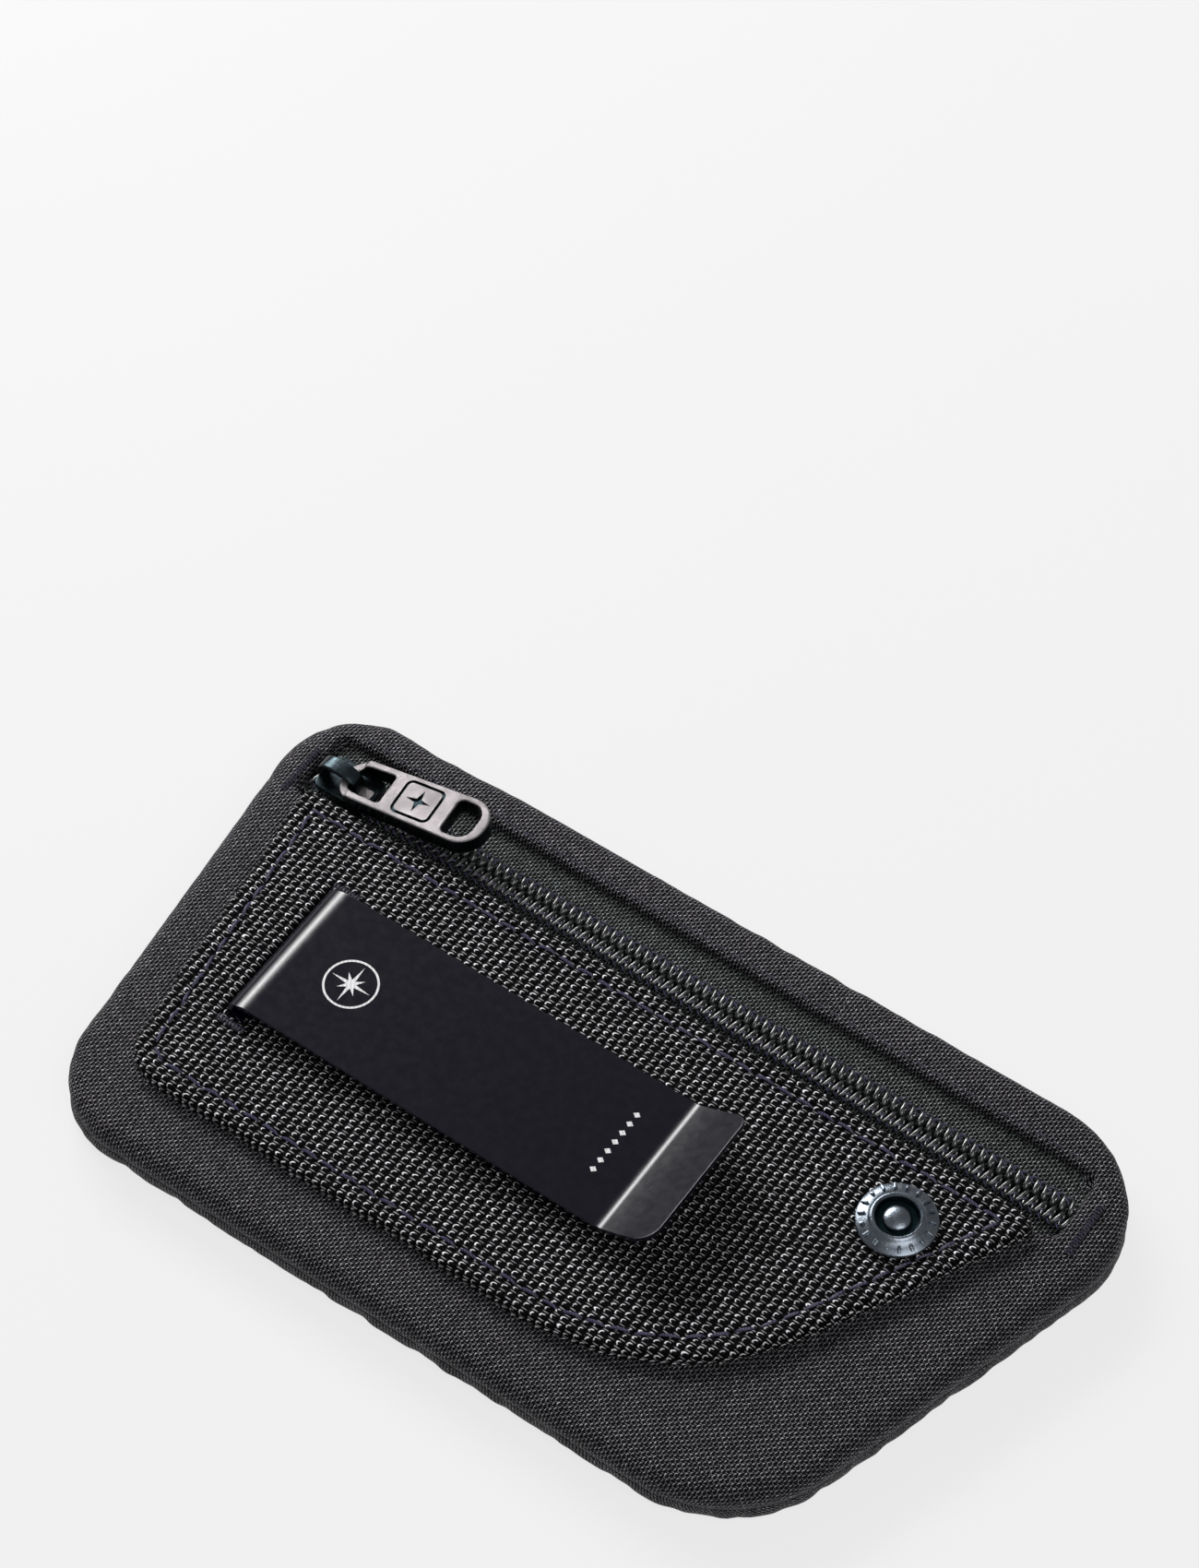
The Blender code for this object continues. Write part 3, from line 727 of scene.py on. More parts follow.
@dataclass(frozen=True)
class Weave:
    """A plain weave: upright yarns cross level yarns, over and under in turn."""

    name: str
    column: float
    row: float
    # gap: painted shade, the colour the weave darkens to where its yarns dip low
    gap: Colour
    yarn: Colour
    # glint: the colour of the painted highlight on each crest
    glint: Colour
    relief: float
    roughness: float
    fibre: float
    specular: float = 0.5
    wander: float = 0.12
    # shine: how wide the painted highlights are
    shine: float = 0.2

    def crossing(self, f: Finish, flat: Socket) -> Crossing:
        """Finds the nearest crossing, how high its yarns stand, and which is on top.

        Args:
            f: The finish being made.
            flat: The place on the flat cloth.

        Returns:
            The crossing.
        """
        u, v, _ = f.split(flat)
        drift = f.math("SUBTRACT", f.noise(flat, 0.22, 1.0), 0.5)
        sway = f.math("SUBTRACT", f.noise(f.place(uv=True, stretch=(1.0, -1.0, 1.0)), 0.3, 1.0), 0.5)
        stray = self.wander * 8.0
        across = f.math("ADD", f.math("DIVIDE", u, self.column), f.math("MULTIPLY", drift, stray))
        up = f.math("ADD", f.math("DIVIDE", v, self.row), f.math("MULTIPLY", sway, stray))
        column, row = f.math("ROUND", across), f.math("ROUND", up)
        aside, above = f.math("SUBTRACT", across, column), f.math("SUBTRACT", up, row)
        along_upright, along_level = f.math("SUBTRACT", up, column), f.math("SUBTRACT", across, row)
        upright_rise = f.math("COSINE", f.math("MULTIPLY", along_upright, math.pi))
        level_rise = f.math("COSINE", f.math("MULTIPLY", along_level, math.pi))
        level_rise = f.math("MULTIPLY", level_rise, -1.0)
        body = []
        for beside in (aside, above):
            square = f.math("POWER", f.math("MULTIPLY", f.math("ABSOLUTE", beside), 2.1), 2.0)
            body.append(f.math("SQRT", f.math("MAXIMUM", f.math("SUBTRACT", 1.0, square), 0.0)))
        upright = f.math("ADD", f.math("MULTIPLY", upright_rise, 0.5), body[0])
        level = f.math("ADD", f.math("MULTIPLY", level_rise, 0.4), f.math("MULTIPLY", body[1], 0.75))
        height = f.math("MULTIPLY", f.math("MAXIMUM", upright, level), 0.66)
        on_top = f.math("GREATER_THAN", upright, level)
        return Crossing(column, row, aside, above, along_upright, level_rise, on_top, height)

    def fibres(self, f: Finish, at: Crossing) -> Socket:
        """Fine fibres that run along whichever yarn is on top.

        Args:
            f: The finish being made.
            at: The crossing.

        Returns:
            A value from 0 to 1.
        """
        upright = f.place(uv=True, stretch=(self.fibre / self.column, 1.3 / self.row, 1.0))
        level = f.place(uv=True, stretch=(1.3 / self.column, self.fibre / self.row, 1.0))
        under = f.math("SUBTRACT", 1.0, at.upright_on_top)
        return f.math(
            "ADD",
            f.math("MULTIPLY", f.noise(upright, 1.0, 2.0), at.upright_on_top),
            f.math("MULTIPLY", f.noise(level, 1.0, 2.0), under),
        )

    def painted_glints(self, f: Finish, flat: Socket, at: Crossing, fibres: Socket) -> Socket:
        """Painted highlight: a pale hook on each crest, on the side toward the key light: a bow on an upright
        yarn, a bar on a level one.

        Args:
            f: The finish being made.
            flat: The place on the flat cloth.
            at: The crossing.
            fibres: The yarn's fibres there.

        Returns:
            How strongly the painted highlight shows there, from 0 to 1.
        """
        ahead = f.math("FLOORED_MODULO", f.math("ADD", at.along_upright, 1.0), 2.0)
        ahead = f.math("MULTIPLY", f.math("SUBTRACT", ahead, 1.0), 0.62)
        twist = f.math("SUBTRACT", f.noise(flat, 1.1 / self.column, 2.0), 0.5)
        aside = f.math("ADD", at.aside, f.math("MULTIPLY", twist, 0.8))
        reach = f.math("SQRT", f.math("ADD", f.math("POWER", aside, 2.0), f.math("POWER", ahead, 2.0)))
        size = f.spread(f.chance(at.row, at.column), 0.0, 1.0, 0.22, 0.36)
        ring = f.spread(f.math("ABSOLUTE", f.math("SUBTRACT", reach, size)), 0.02, self.shine, 1.0, 0.0)
        # Painted highlight: only the part of each ring toward the key light is lit.
        facing = f.math("SUBTRACT", f.math("MULTIPLY", ahead, 0.55), aside)
        bow = f.math("MULTIPLY", ring, f.spread(facing, -0.02, 0.2, 0.0, 1.0))
        shelf = f.math("ABSOLUTE", f.math("SUBTRACT", at.above, 0.1))
        shelf = f.spread(shelf, 0.05, self.shine * 1.4, 0.45, 0.0)
        bar = f.math("MULTIPLY", shelf, f.spread(at.level_rise, 0.3, 0.95, 0.0, 1.0))
        under = f.math("SUBTRACT", 1.0, at.upright_on_top)
        pale = f.math("MAXIMUM", f.math("MULTIPLY", bow, at.upright_on_top), f.math("MULTIPLY", bar, under))
        luck = f.math("MULTIPLY", f.chance(at.column, at.row), 0.75)
        luck = f.math("ADD", luck, f.math("MULTIPLY", fibres, 0.5))
        return f.math("MULTIPLY", pale, f.spread(luck, 0.15, 1.0, 0.5, 1.0))

    def material(self) -> bpy.types.Material:
        """Lays the weave on the cloth's flat places.

        Returns:
            The finish's material.
        """
        f = Finish(self.name, self.roughness, specular=self.specular)
        f.shader.inputs["Sheen Weight"].default_value = 0.01
        f.shader.inputs["Sheen Roughness"].default_value = 0.4
        flat = f.place(uv=True)
        at = self.crossing(f, flat)
        fibres = self.fibres(f, at)
        f.bump(f.math("ADD", at.height, f.math("MULTIPLY", fibres, 0.22)), self.relief)
        by_column = f.math("MULTIPLY", f.chance(at.column, 3.0), 0.5)
        dye = f.math("ADD", by_column, f.math("MULTIPLY", f.chance(at.column, at.row), 0.5))
        # Painted shade: low places between the yarns darken towards the gap colour; the dye varies at random
        # from yarn to yarn.
        tone = f.math("ADD", f.math("MULTIPLY", at.height, 0.75), f.math("MULTIPLY", fibres, 0.3))
        tone = f.math("MULTIPLY", tone, f.spread(dye, 0.0, 1.0, 0.72, 1.15))
        colour = f.ramp(tone, ((0.45, self.gap), (0.95, self.yarn)))
        # Painted highlight: the glint colour laid on each crest.
        colour = f.mix(self.painted_glints(f, flat, at, fibres), colour, self.glint)
        return f.wear(colour, f.spread(fibres, 0.3, 0.75, self.roughness + 0.12, self.roughness - 0.1))


@dataclass(frozen=True)
class Metal:
    """A metal with a fine grain, faint smears and a little unevenness."""

    name: str
    dark: Colour
    light: Colour
    roughness: float
    grain: float
    depth: float
    metallic: float = 1.0
    uneven: float = 0.07
    specular: float = 0.5

    def material(self) -> bpy.types.Material:
        """The metal's finish.

        Returns:
            The finish's material.
        """
        f = Finish(self.name, self.roughness, self.metallic, self.specular)
        here = f.place()
        grains = f.cells(here, 1.0 / self.grain)
        cloud = f.noise(here, 0.35, 3.0)
        specks = f.noise(here, 2.2 / self.grain, 3.0, 0.7)
        tone = f.math("ADD", f.math("MULTIPLY", cloud, 0.5), f.math("MULTIPLY", specks, 0.5))
        relief = f.math("ADD", f.math("MULTIPLY", grains, 0.6), f.math("MULTIPLY", specks, 0.6))
        f.bump(relief, self.depth)
        colour = f.ramp(tone, ((0.32, self.dark), (0.68, self.light)))
        smears = f.noise(here, 0.8, 3.0, 0.65)
        rough = f.spread(smears, 0.3, 0.7, self.roughness - self.uneven, self.roughness + self.uneven)
        return f.wear(colour, rough)


@dataclass(frozen=True)
class Strand:
    """A twisted or drawn strand: sewing thread or the zip's nylon."""

    name: str
    dark: Colour
    light: Colour
    roughness: float
    twist: float
    depth: float
    specular: float = 0.5

    def material(self) -> bpy.types.Material:
        """The strand's finish.

        Returns:
            The finish's material.
        """
        f = Finish(self.name, self.roughness, specular=self.specular)
        here = f.place()
        x, y, z = f.split(here)
        turn = f.math("ADD", f.math("ADD", x, f.math("MULTIPLY", y, 0.7)), z)
        ply = f.math("SINE", f.math("MULTIPLY", turn, 2.0 * math.pi / self.twist))
        fuzz = f.noise(here, 5.0, 3.0, 0.6)
        height = f.math("ADD", f.math("MULTIPLY", ply, 0.35), fuzz)
        f.bump(height, self.depth)
        colour = f.ramp(f.math("MULTIPLY", height, 0.8), ((0.15, self.dark), (0.8, self.light)))
        rough = f.spread(fuzz, 0.3, 0.7, self.roughness - 0.08, self.roughness + 0.1)
        return f.wear(colour, rough)


@dataclass(frozen=True)
class Palette:
    """Every finish of the object, made once."""

    panel: bpy.types.Material
    patch: bpy.types.Material
    tape: bpy.types.Material
    nylon: bpy.types.Material
    slider: bpy.types.Material
    puller: bpy.types.Material
    puller_side: bpy.types.Material
    steel: bpy.types.Material
    rivet: bpy.types.Material
    rivet_dark: bpy.types.Material
    ink: bpy.types.Material
    thread: bpy.types.Material
    tack_thread: bpy.types.Material

    @classmethod
    def mixed(cls) -> "Palette":
        """Makes the finishes."""
        return cls(
            panel=Weave(
                "panel_cloth", 0.46, 0.38, gap=(0.0008, 0.0008, 0.001), yarn=(0.005, 0.0045, 0.006),
                glint=(0.38, 0.365, 0.40), relief=0.11, roughness=0.5, fibre=5.0,
                specular=0.06, wander=0.06, shine=0.17,
            ).material(),
            patch=Weave(
                "patch_cloth", 1.16, 0.54, gap=(0.0004, 0.0004, 0.0005), yarn=(0.0032, 0.0032, 0.0040),
                glint=(0.92, 0.92, 0.96), relief=0.18, roughness=0.42, fibre=9.0,
                specular=0.05, wander=0.0, shine=0.115,
            ).material(),
            tape=Weave(
                "tape_cloth", 0.44, 0.36, gap=(0.0008, 0.001, 0.001), yarn=(0.004, 0.005, 0.005),
                glint=(0.36, 0.39, 0.39), relief=0.09, roughness=0.5, fibre=4.0,
                specular=0.06, shine=0.16,
            ).material(),
            nylon=Strand(
                "coil_nylon", (0.003, 0.004, 0.004), (0.022, 0.024, 0.026),
                roughness=0.20, twist=0.9, depth=0.02, specular=1.0,
            ).material(),
            slider=Metal(
                "cast_gunmetal", (0.016, 0.024, 0.028), (0.05, 0.065, 0.072),
                roughness=0.27, grain=0.22, depth=0.012,
            ).material(),
            puller=Metal(
                "satin_metal", (0.13, 0.119, 0.122), (0.30, 0.28, 0.285),
                roughness=0.42, grain=0.16, depth=0.06,
            ).material(),
            # Painted shade for the puller's sides, hole walls and sunk square and star.
            puller_side=Metal(
                "painted_shade_puller", (0.006, 0.011, 0.013), (0.016, 0.026, 0.029),
                roughness=0.30, grain=0.2, depth=0.012,
            ).material(),
            steel=Metal(
                "blued_steel", (0.0008, 0.0003, 0.0044), (0.0012, 0.0005, 0.0056),
                roughness=0.20, grain=0.3, depth=0.0005, metallic=0.0, uneven=0.02, specular=0.42,
            ).material(),
            rivet=Metal(
                "rivet_metal", (0.095, 0.115, 0.14), (0.25, 0.28, 0.32),
                roughness=0.25, grain=0.2, depth=0.016,
            ).material(),
            # Painted shade for the recess round the post and the cap's under side.
            rivet_dark=Metal(
                "rivet_recess_shade", (0.003, 0.009, 0.011), (0.010, 0.020, 0.024),
                roughness=0.35, grain=0.2, depth=0.012,
            ).material(),
            ink=Strand(
                "print_ink", (0.55, 0.54, 0.55), (0.80, 0.79, 0.80),
                roughness=0.5, twist=0.6, depth=0.004,
            ).material(),
            thread=Strand(
                "sewing_thread", (0.008, 0.007, 0.016), (0.085, 0.078, 0.17),
                roughness=0.42, twist=0.42, depth=0.03,
            ).material(),
            tack_thread=Strand(
                "tack_thread", (0.005, 0.0045, 0.010), (0.040, 0.037, 0.072),
                roughness=0.40, twist=0.42, depth=0.03,
            ).material(),
        )


# ---------------------------------------------------------------- pouch


def rolled(past: np.ndarray, radius: float, turn: float) -> tuple[np.ndarray, np.ndarray, np.ndarray]:
    """Carries cloth over a rounded edge, and straight on beyond it.

    Args:
        past: Distance along the cloth past the start of the roll.
        radius: The roll's radius.
        turn: The angle at which the roll ends, in radians.

    Returns:
        How far out it goes, how far down, and the angle turned.
    """
    angle = np.clip(past / radius, 0.0, turn)
    beyond = np.maximum(past - radius * turn, 0.0)
    out = np.where(past <= 0.0, past, radius * np.sin(angle) + beyond * math.cos(turn))
    down = radius * (1.0 - np.cos(angle)) + beyond * math.sin(turn)
    return out, down, angle


def even_steps(low: float, high: float, step: float, marks: Sequence[float] = ()) -> np.ndarray:
    """Grid lines from low to high about step apart, with lines exactly at the marks.

    Args:
        low: The first line.
        high: The last line.
        step: The distance between lines, roughly.
        marks: Lines that have to be there.

    Returns:
        The lines, in order.
    """
    stops = [low, *sorted(marks), high]
    lines: list[float] = []
    for start, end in zip(stops, stops[1:]):
        count = max(1, round((end - start) / step))
        lines += list(np.linspace(start, end, count, endpoint=False))
    return np.array([*lines, high])


@dataclass(frozen=True)
class PouchSizes:
    """Sizes of the pouch's two panels."""

    corners: tuple[Corner, ...] = (
        (-55.6, -35.4, 12.0),
        (46.2, -34.9, 19.0),
        (67.3, 35.3, 15.0),
        (-63.6, 33.9, 11.5),
    )
    thickness: float = 6.6
    edge_radius: float = 2.2
    edge_turn: float = math.radians(120.0)
    cell: float = 1.15
    cloth: float = 0.5
    window: Corner = (-57.2, 55.2, 1.2)
    window_sides: tuple[float, float] = (18.2, 28.6)
    lip_radius: float = 0.6
    lip_wall: float = 0.65
    seam_gap: float = 0.06
    swell: float = 0.45


class Pouch:
    """The front and back panels, turned in along one seam round the edge."""

    def __init__(self, sizes: PouchSizes, palette: Palette) -> None:
        """Args:
        sizes: The panels' sizes.
        palette: The finishes.
        """
        self.sizes = sizes
        self.palette = palette
        self.outline = Outline(sizes.corners, centred=True)
        x0, x1, corner = sizes.window
        self.window = Outline(box_corners(x0, x1, *sizes.window_sides, corner), steps=6)

    def puckers(self, along: np.ndarray, angle: np.ndarray, past: np.ndarray, seed: float) -> np.ndarray:
        """The seam's small gathers: how far the cloth stands out, in millimetres.

        Args:
            along: How far round the edge.
            angle: How far the cloth has turned.
            past: How far past the edge's start.
            seed: Which puckers.

        Returns:
            How far the cloth moves out.
        """
        wave = (
            np.sin(along * 2.0 * np.pi / 5.3 + seed + 1.3 * np.sin(along / 19.0))
            + 0.8 * np.sin(along * 2.0 * np.pi / 8.1 + 2.1 * seed + np.sin(along / 13.0))
            + 0.5 * np.sin(along * 2.0 * np.pi / 3.4 + 0.7 * seed)
        )
        strength = 0.55 + 0.45 * np.sin(along / 11.0 + seed)
        near_seam = smooth_step(past, -4.5, 1.6)
        fine = 0.05 * np.sin(along * 2.0 * np.pi / 2.3 + 3.0 * np.sin(along / 7.0))
        fine *= smooth_step(past, 0.5, 3.0)
        return (0.075 * wave * strength * near_seam + fine) * (1.0 - 0.5 * smooth_step(angle, 1.7, 2.1))

    def front(self, flat: np.ndarray) -> tuple[np.ndarray, np.ndarray]:
        """Folds the front panel: over the edge outside, and down into the zip's window.

        Args:
            flat: Places on the flat panel.

        Returns:
            Where each goes, and how far past the cloth it is.
        """
        s = self.sizes
        places, past_edge, settle = self.over_edge(flat, 1.0)
        away, normal, _ = self.window.measure(flat)
        past = s.lip_radius - away
        end = s.lip_radius * math.pi / 2.0 + s.lip_wall
        capped = np.minimum(past, end)
        out, down, _ = rolled(capped, s.lip_radius, math.pi / 2.0)
        inside = past > 0.0
        places[:, :2] = np.where(
            inside[:, None], flat + normal * (past - out)[:, None], places[:, :2]
        )
        raised = 0.22 * np.exp(-(((away - 1.1) / 1.2) ** 2)) * (away > -0.5)
        places[:, 2] += raised * (1.0 - settle)
        places[:, 2] -= np.where(inside, down, 0.0)
        groove = np.exp(-(((away - 1.0) / 0.35) ** 2))
        places[:, 2] -= 0.1 * groove * (flat[:, 1] > 22.0)
        return places, np.maximum(past_edge, past - end)

    def back(self, flat: np.ndarray) -> tuple[np.ndarray, np.ndarray]:
        """Folds the back panel the same way, upside down."""
        places, past_edge, _ = self.over_edge(flat, -1.0)
        return places, past_edge

    def over_edge(self, flat: np.ndarray, up: float) -> tuple[np.ndarray, np.ndarray, np.ndarray]:
        """Carries a panel's cloth over the pouch's edge to the seam.

        Args:
            flat: Places in the flat cloth.
            up: 1 for the front panel and -1 for the back.

        Returns:
            The places in space, how far each is past the cut edge, and how near the edge it is.
        """
        s = self.sizes
        away, normal, along = self.outline.measure(flat)
        dip = 0.55 * np.exp(-(((flat[:, 0] + 45.0) / 8.0) ** 2)) * (flat[:, 1] > 0.0)
        away = away + dip
        past = away + s.edge_radius
        end = s.edge_radius * s.edge_turn
        out, down, angle = rolled(np.minimum(past, end), s.edge_radius, s.edge_turn)
        places = np.empty((len(flat), 3))
        places[:, :2] = flat - normal * (past - out)[:, None]
        stand = self.puckers(along, angle, past, 0.4 if up > 0.0 else 2.9)
        side = np.sin(angle) * stand
        places[:, :2] += normal * side[:, None]
        seam = s.thickness / 2.0 + up * s.seam_gap
        top = s.thickness if up > 0.0 else 0.0
        reach = abs(top - seam) / (s.edge_radius * (1.0 - math.cos(s.edge_turn)))
        places[:, 2] = top - up * down * reach
        lift = np.cos(angle) * stand if up > 0.0 else np.minimum(np.cos(angle) * stand, 0.0)
        places[:, 2] += up * lift
        if up < 0.0:
            places[:, 2] = np.maximum(places[:, 2], 0.0)
        return places, past - end, smooth_step(past, -3.0, 0.0)

    def build(self) -> list[bpy.types.Object]:
        """Returns:
            The pieces.
        """
        s = self.sizes
        reach = s.edge_radius * (s.edge_turn - 1.0) + 0.8
        high_x, high_y = self.outline.points.max(0) + reach
        half_turn, fold = s.lip_radius * math.pi / 4.0, s.lip_radius
        end = s.lip_radius * math.pi / 2.0 + s.lip_wall
        low_marks, high_marks = [], []
        for shift in (fold, fold - half_turn, fold - 2.0 * half_turn, fold - end, fold - end - 0.4):
            low_marks.append(-shift)
            high_marks.append(shift)
        xs = even_steps(-high_x, high_x, s.cell,
                        [s.window[0] + m for m in low_marks] + [s.window[1] + m for m in high_marks])
        side_marks = [s.window_sides[0] + m for m in low_marks] + [s.window_sides[1] + m for m in high_marks]
        ys = even_steps(-high_y, high_y, s.cell, side_marks)
        front_bm = cloth_grid(xs, ys, self.front)
        plain = even_steps(-high_x, high_x, s.cell), even_steps(-high_y, high_y, s.cell)
        back_bm = cloth_grid(*plain, self.back)
        bmesh.ops.reverse_faces(back_bm, faces=back_bm.faces[:])
        pieces = []
        for name, bm, node in (
            ("front_panel_cloth", front_bm, "front_panel"),
            ("back_panel_cloth", back_bm, "back_panel"),
        ):
            piece = add_piece(name, bm, self.palette.panel, Body.POUCH, [node], 180.0)
            swell_cloth(piece, self.held(piece, node == "front_panel"), s.swell, node == "front_panel")
            add_modifier(piece, "SUBSURF", levels=1, render_levels=1)
            add_modifier(piece, "SOLIDIFY", thickness=s.cloth * MM, offset=-1.0)
            pieces.append(piece)
        whole = self.outline.area(reach)
        return pieces

    def held(self, piece: bpy.types.Object, front: bool) -> np.ndarray:
        """How firmly each point is held by a seam or by what lies on it, from 0 to 1.

        Args:
            piece: The panel.
            front: Whether it is the front one.

        Returns:
            How free each point is, from 0 to 1.
        """
        places = np.array([v.co for v in piece.data.vertices]) / MM
        away, _, _ = self.outline.measure(places[:, :2])
        seam = np.exp(-(((places[:, 2] - self.sizes.thickness / 2.0) / 0.9) ** 2))
        if not front:
            return np.maximum(seam, smooth_step(-away, 3.0, 7.0))
        window, _, _ = self.window.measure(places[:, :2])
        patch, _, _ = Outline(PatchSizes().corners).measure(places[:, :2])
        return np.maximum.reduce(
            [seam, 1.0 - smooth_step(window, 0.8, 2.2), 1.0 - smooth_step(patch, 0.3, 1.6)]
        )


def swell_cloth(piece: bpy.types.Object, held: np.ndarray, cap: float, front: bool) -> None:
    """Lets the padding push the cloth out between its seams, by simulation.

    Args:
        piece: The cloth, whose mesh is changed.
        held: How firmly each point is held, from 0 to 1.
        cap: The furthest that a point may move, in millimetres.
        front: Whether this is the front panel, which may rise.
    """
    enlarge = 10.0
    rest = np.array([v.co for v in piece.data.vertices])
    mesh = piece.data.copy()
    mesh.transform(Matrix.Scale(enlarge, 4))
    model = bpy.data.objects.new("swelling", mesh)
    bpy.context.scene.collection.objects.link(model)
    group = model.vertex_groups.new(name="held")
    for index, weight in enumerate(held):
        group.add([index], float(weight), "REPLACE")
    modifier = model.modifiers.new("cloth", "CLOTH")
    settings = modifier.settings
    settings.quality = 6
    settings.mass = 0.15
    settings.vertex_group_mass = "held"
    settings.pin_stiffness = 2.0
    settings.tension_stiffness = settings.compression_stiffness = 12.0
    settings.shear_stiffness = 6.0
    settings.bending_stiffness = 0.6
    settings.shrink_min = -0.03
    settings.use_pressure = True
    settings.uniform_pressure_force = 4.0
    settings.effector_weights.gravity = 0.0
    modifier.collision_settings.use_collision = False
    scene = bpy.context.scene
    for number in range(1, 21):
        scene.frame_set(number)
    evaluated = model.evaluated_get(bpy.context.evaluated_depsgraph_get())
    moved = np.array([v.co for v in evaluated.data.vertices]) / enlarge - rest
    scene.frame_set(1)
    bpy.data.objects.remove(model)
    bpy.data.meshes.remove(mesh)
    length = np.linalg.norm(moved, axis=1)
    limit = cap * MM * np.tanh(length / (cap * MM)) / np.maximum(length, 1e-9)
    moved *= (limit * (1.0 - held))[:, None]
    log.info("%s: swelled by up to %.2f mm", piece.name, length.max() / MM)
    places = rest + moved
    if not front:
        places[:, 2] = np.maximum(places[:, 2], 0.0)
    for vert, place in zip(piece.data.vertices, places):
        vert.co = place


# ---------------------------------------------------------------- patch


@dataclass(frozen=True)
class PatchSizes:
    """Sizes of the woven patch on the front."""

    corners: tuple[Corner, ...] = (
        (-49.2, -26.3, 6.0),
        (29.8, -26.3, 32.8),
        (53.7, 18.6, 1.6),
        (-55.3, 18.6, 1.2),
    )
    top: float = 8.42
    edge_radius: float = 0.8
    wall: float = 1.05
    stitch_inset: float = 2.6
    column: float = 1.16
    row: float = 0.54
    slot: tuple[float, float, float, float] = (-43.3, -40.4, -13.8, 7.6)
    rivet: tuple[float, float] = (39.4, 8.7)
    stitch: float = 2.35
    stitch_gap: float = 0.55


class Patch:
    """The coarsely woven patch, with its turned hem and its row of stitches."""

    def __init__(self, sizes: PatchSizes, palette: Palette) -> None:
        """Args:
        sizes: The patch's sizes.
        palette: The finishes.
        """
        self.sizes = sizes
        self.palette = palette
        self.outline = Outline(sizes.corners)

    def weave(self, flat: np.ndarray) -> np.ndarray:
        """Height of the yarns above their mean, in millimetres.

        Args:
            flat: Places on the flat patch.

        Returns:
            The height at each place.
        """
        s = self.sizes
        cx, cy = flat[:, 0] / s.column, flat[:, 1] / s.row
        i, j = np.rint(cx), np.rint(cy)
        fx, fy = cx - i, cy - j
        spin = np.sin(i * 12.9898 + j * 78.233) * 43758.5453
        lot = spin - np.floor(spin)
        upright = 0.5 * np.cos(np.pi * (cy - i)) + np.sqrt(np.maximum(1.0 - (2.1 * fx) ** 2, 0.0))
        level = -0.4 * np.cos(np.pi * (cx - j)) + 0.75 * np.sqrt(np.maximum(1.0 - (2.1 * fy) ** 2, 0.0))
        return (np.maximum(upright, level) - 0.9) * 0.21 + 0.05 * (lot - 0.5)

    def shape(self, flat: np.ndarray) -> tuple[np.ndarray, np.ndarray]:
        """Folds the patch's edge down to the pouch, and stands its yarns up.

        Args:
            flat: Places on the flat patch.

        Returns:
            Where each goes, and how far past the cloth it is.
        """
        s = self.sizes
        away, normal, along = self.outline.measure(flat)
        away = away - 0.12 * np.sin(along / 4.1) - 0.08 * np.sin(along / 1.9)
        past = away + s.edge_radius
        end = s.edge_radius * math.pi / 2.0 + s.wall
        out, down, angle = rolled(np.minimum(past, end), s.edge_radius, math.pi / 2.0)
        stand = self.weave(flat) * (1.0 - 0.4 * smooth_step(angle, 0.4, 1.5))
        seam = np.exp(-(((away + s.stitch_inset) / 0.4) ** 2))
        hem = smooth_step(away, -s.stitch_inset - 0.6, -s.stitch_inset + 0.9)
        swell = 0.10 * np.sin(flat[:, 0] / 7.3 + 0.6) * np.sin(flat[:, 1] / 6.1)
        rivet = np.hypot(flat[:, 0] - s.rivet[0], flat[:, 1] - s.rivet[1])
        pressed = 0.35 * np.exp(-((rivet / 6.4) ** 4))
        places = np.empty((len(flat), 3))
        places[:, :2] = flat - normal * (past - out - np.sin(angle) * stand)[:, None]
        places[:, 2] = s.top - down + np.cos(angle) * stand
        places[:, 2] += np.cos(angle) * (0.12 * hem - 0.26 * seam + swell - pressed)
        x0, x1, y0, y1 = s.slot
        in_slot = np.minimum.reduce([flat[:, 0] - x0, x1 - flat[:, 0], flat[:, 1] - y0, y1 - flat[:, 1]])
        places[:, 2] -= np.cos(angle) * 0.5 * np.exp(-((np.maximum(-in_slot, 0.0) / 0.7) ** 2))
        return places, np.maximum(past - end, in_slot)

    def build(self) -> list[bpy.types.Object]:
        """Makes the patch and its stitches.

        Returns:
            The pieces.
        """
        s = self.sizes
        reach = s.edge_radius * (math.pi / 2.0 - 1.0) + s.wall + 0.3
        low, high = self.outline.points.min(0) - reach, self.outline.points.max(0) + reach
        step_x, step_y = s.column / 4.0, s.row / 3.0
        xs = np.arange(math.floor(low[0] / step_x), math.ceil(high[0] / step_x) + 1) * step_x
        ys = np.arange(math.floor(low[1] / step_y), math.ceil(high[1] / step_y) + 1) * step_y
        bm = cloth_grid(xs, ys, self.shape)
        patch = add_piece("patch_cloth", bm, self.palette.patch, Body.POUCH, ["patch"], 180.0)
        self.outline.area(reach) * MM * MM
        line = Outline(s.corners, inset=s.stitch_inset)
        places = []
        for (x, y), heading in line.walk(s.stitch + s.stitch_gap):
            tilt = 0.10 * math.sin(x * 3.1 + y * 1.7)
            sunk = 0.2 + 0.1 * math.sin(x * 5.3 - y * 2.9)
            places.append(Matrix.Translation((x, y, s.top - sunk)) @ Matrix.Rotation(heading + tilt, 4, "Z"))
        stitches = add_piece("patch_stitches", copies(stitch_mesh(s.stitch, 0.2), places),
                             self.palette.thread, Body.POUCH, ["patch_seam_thread"])
        return [patch, stitches]


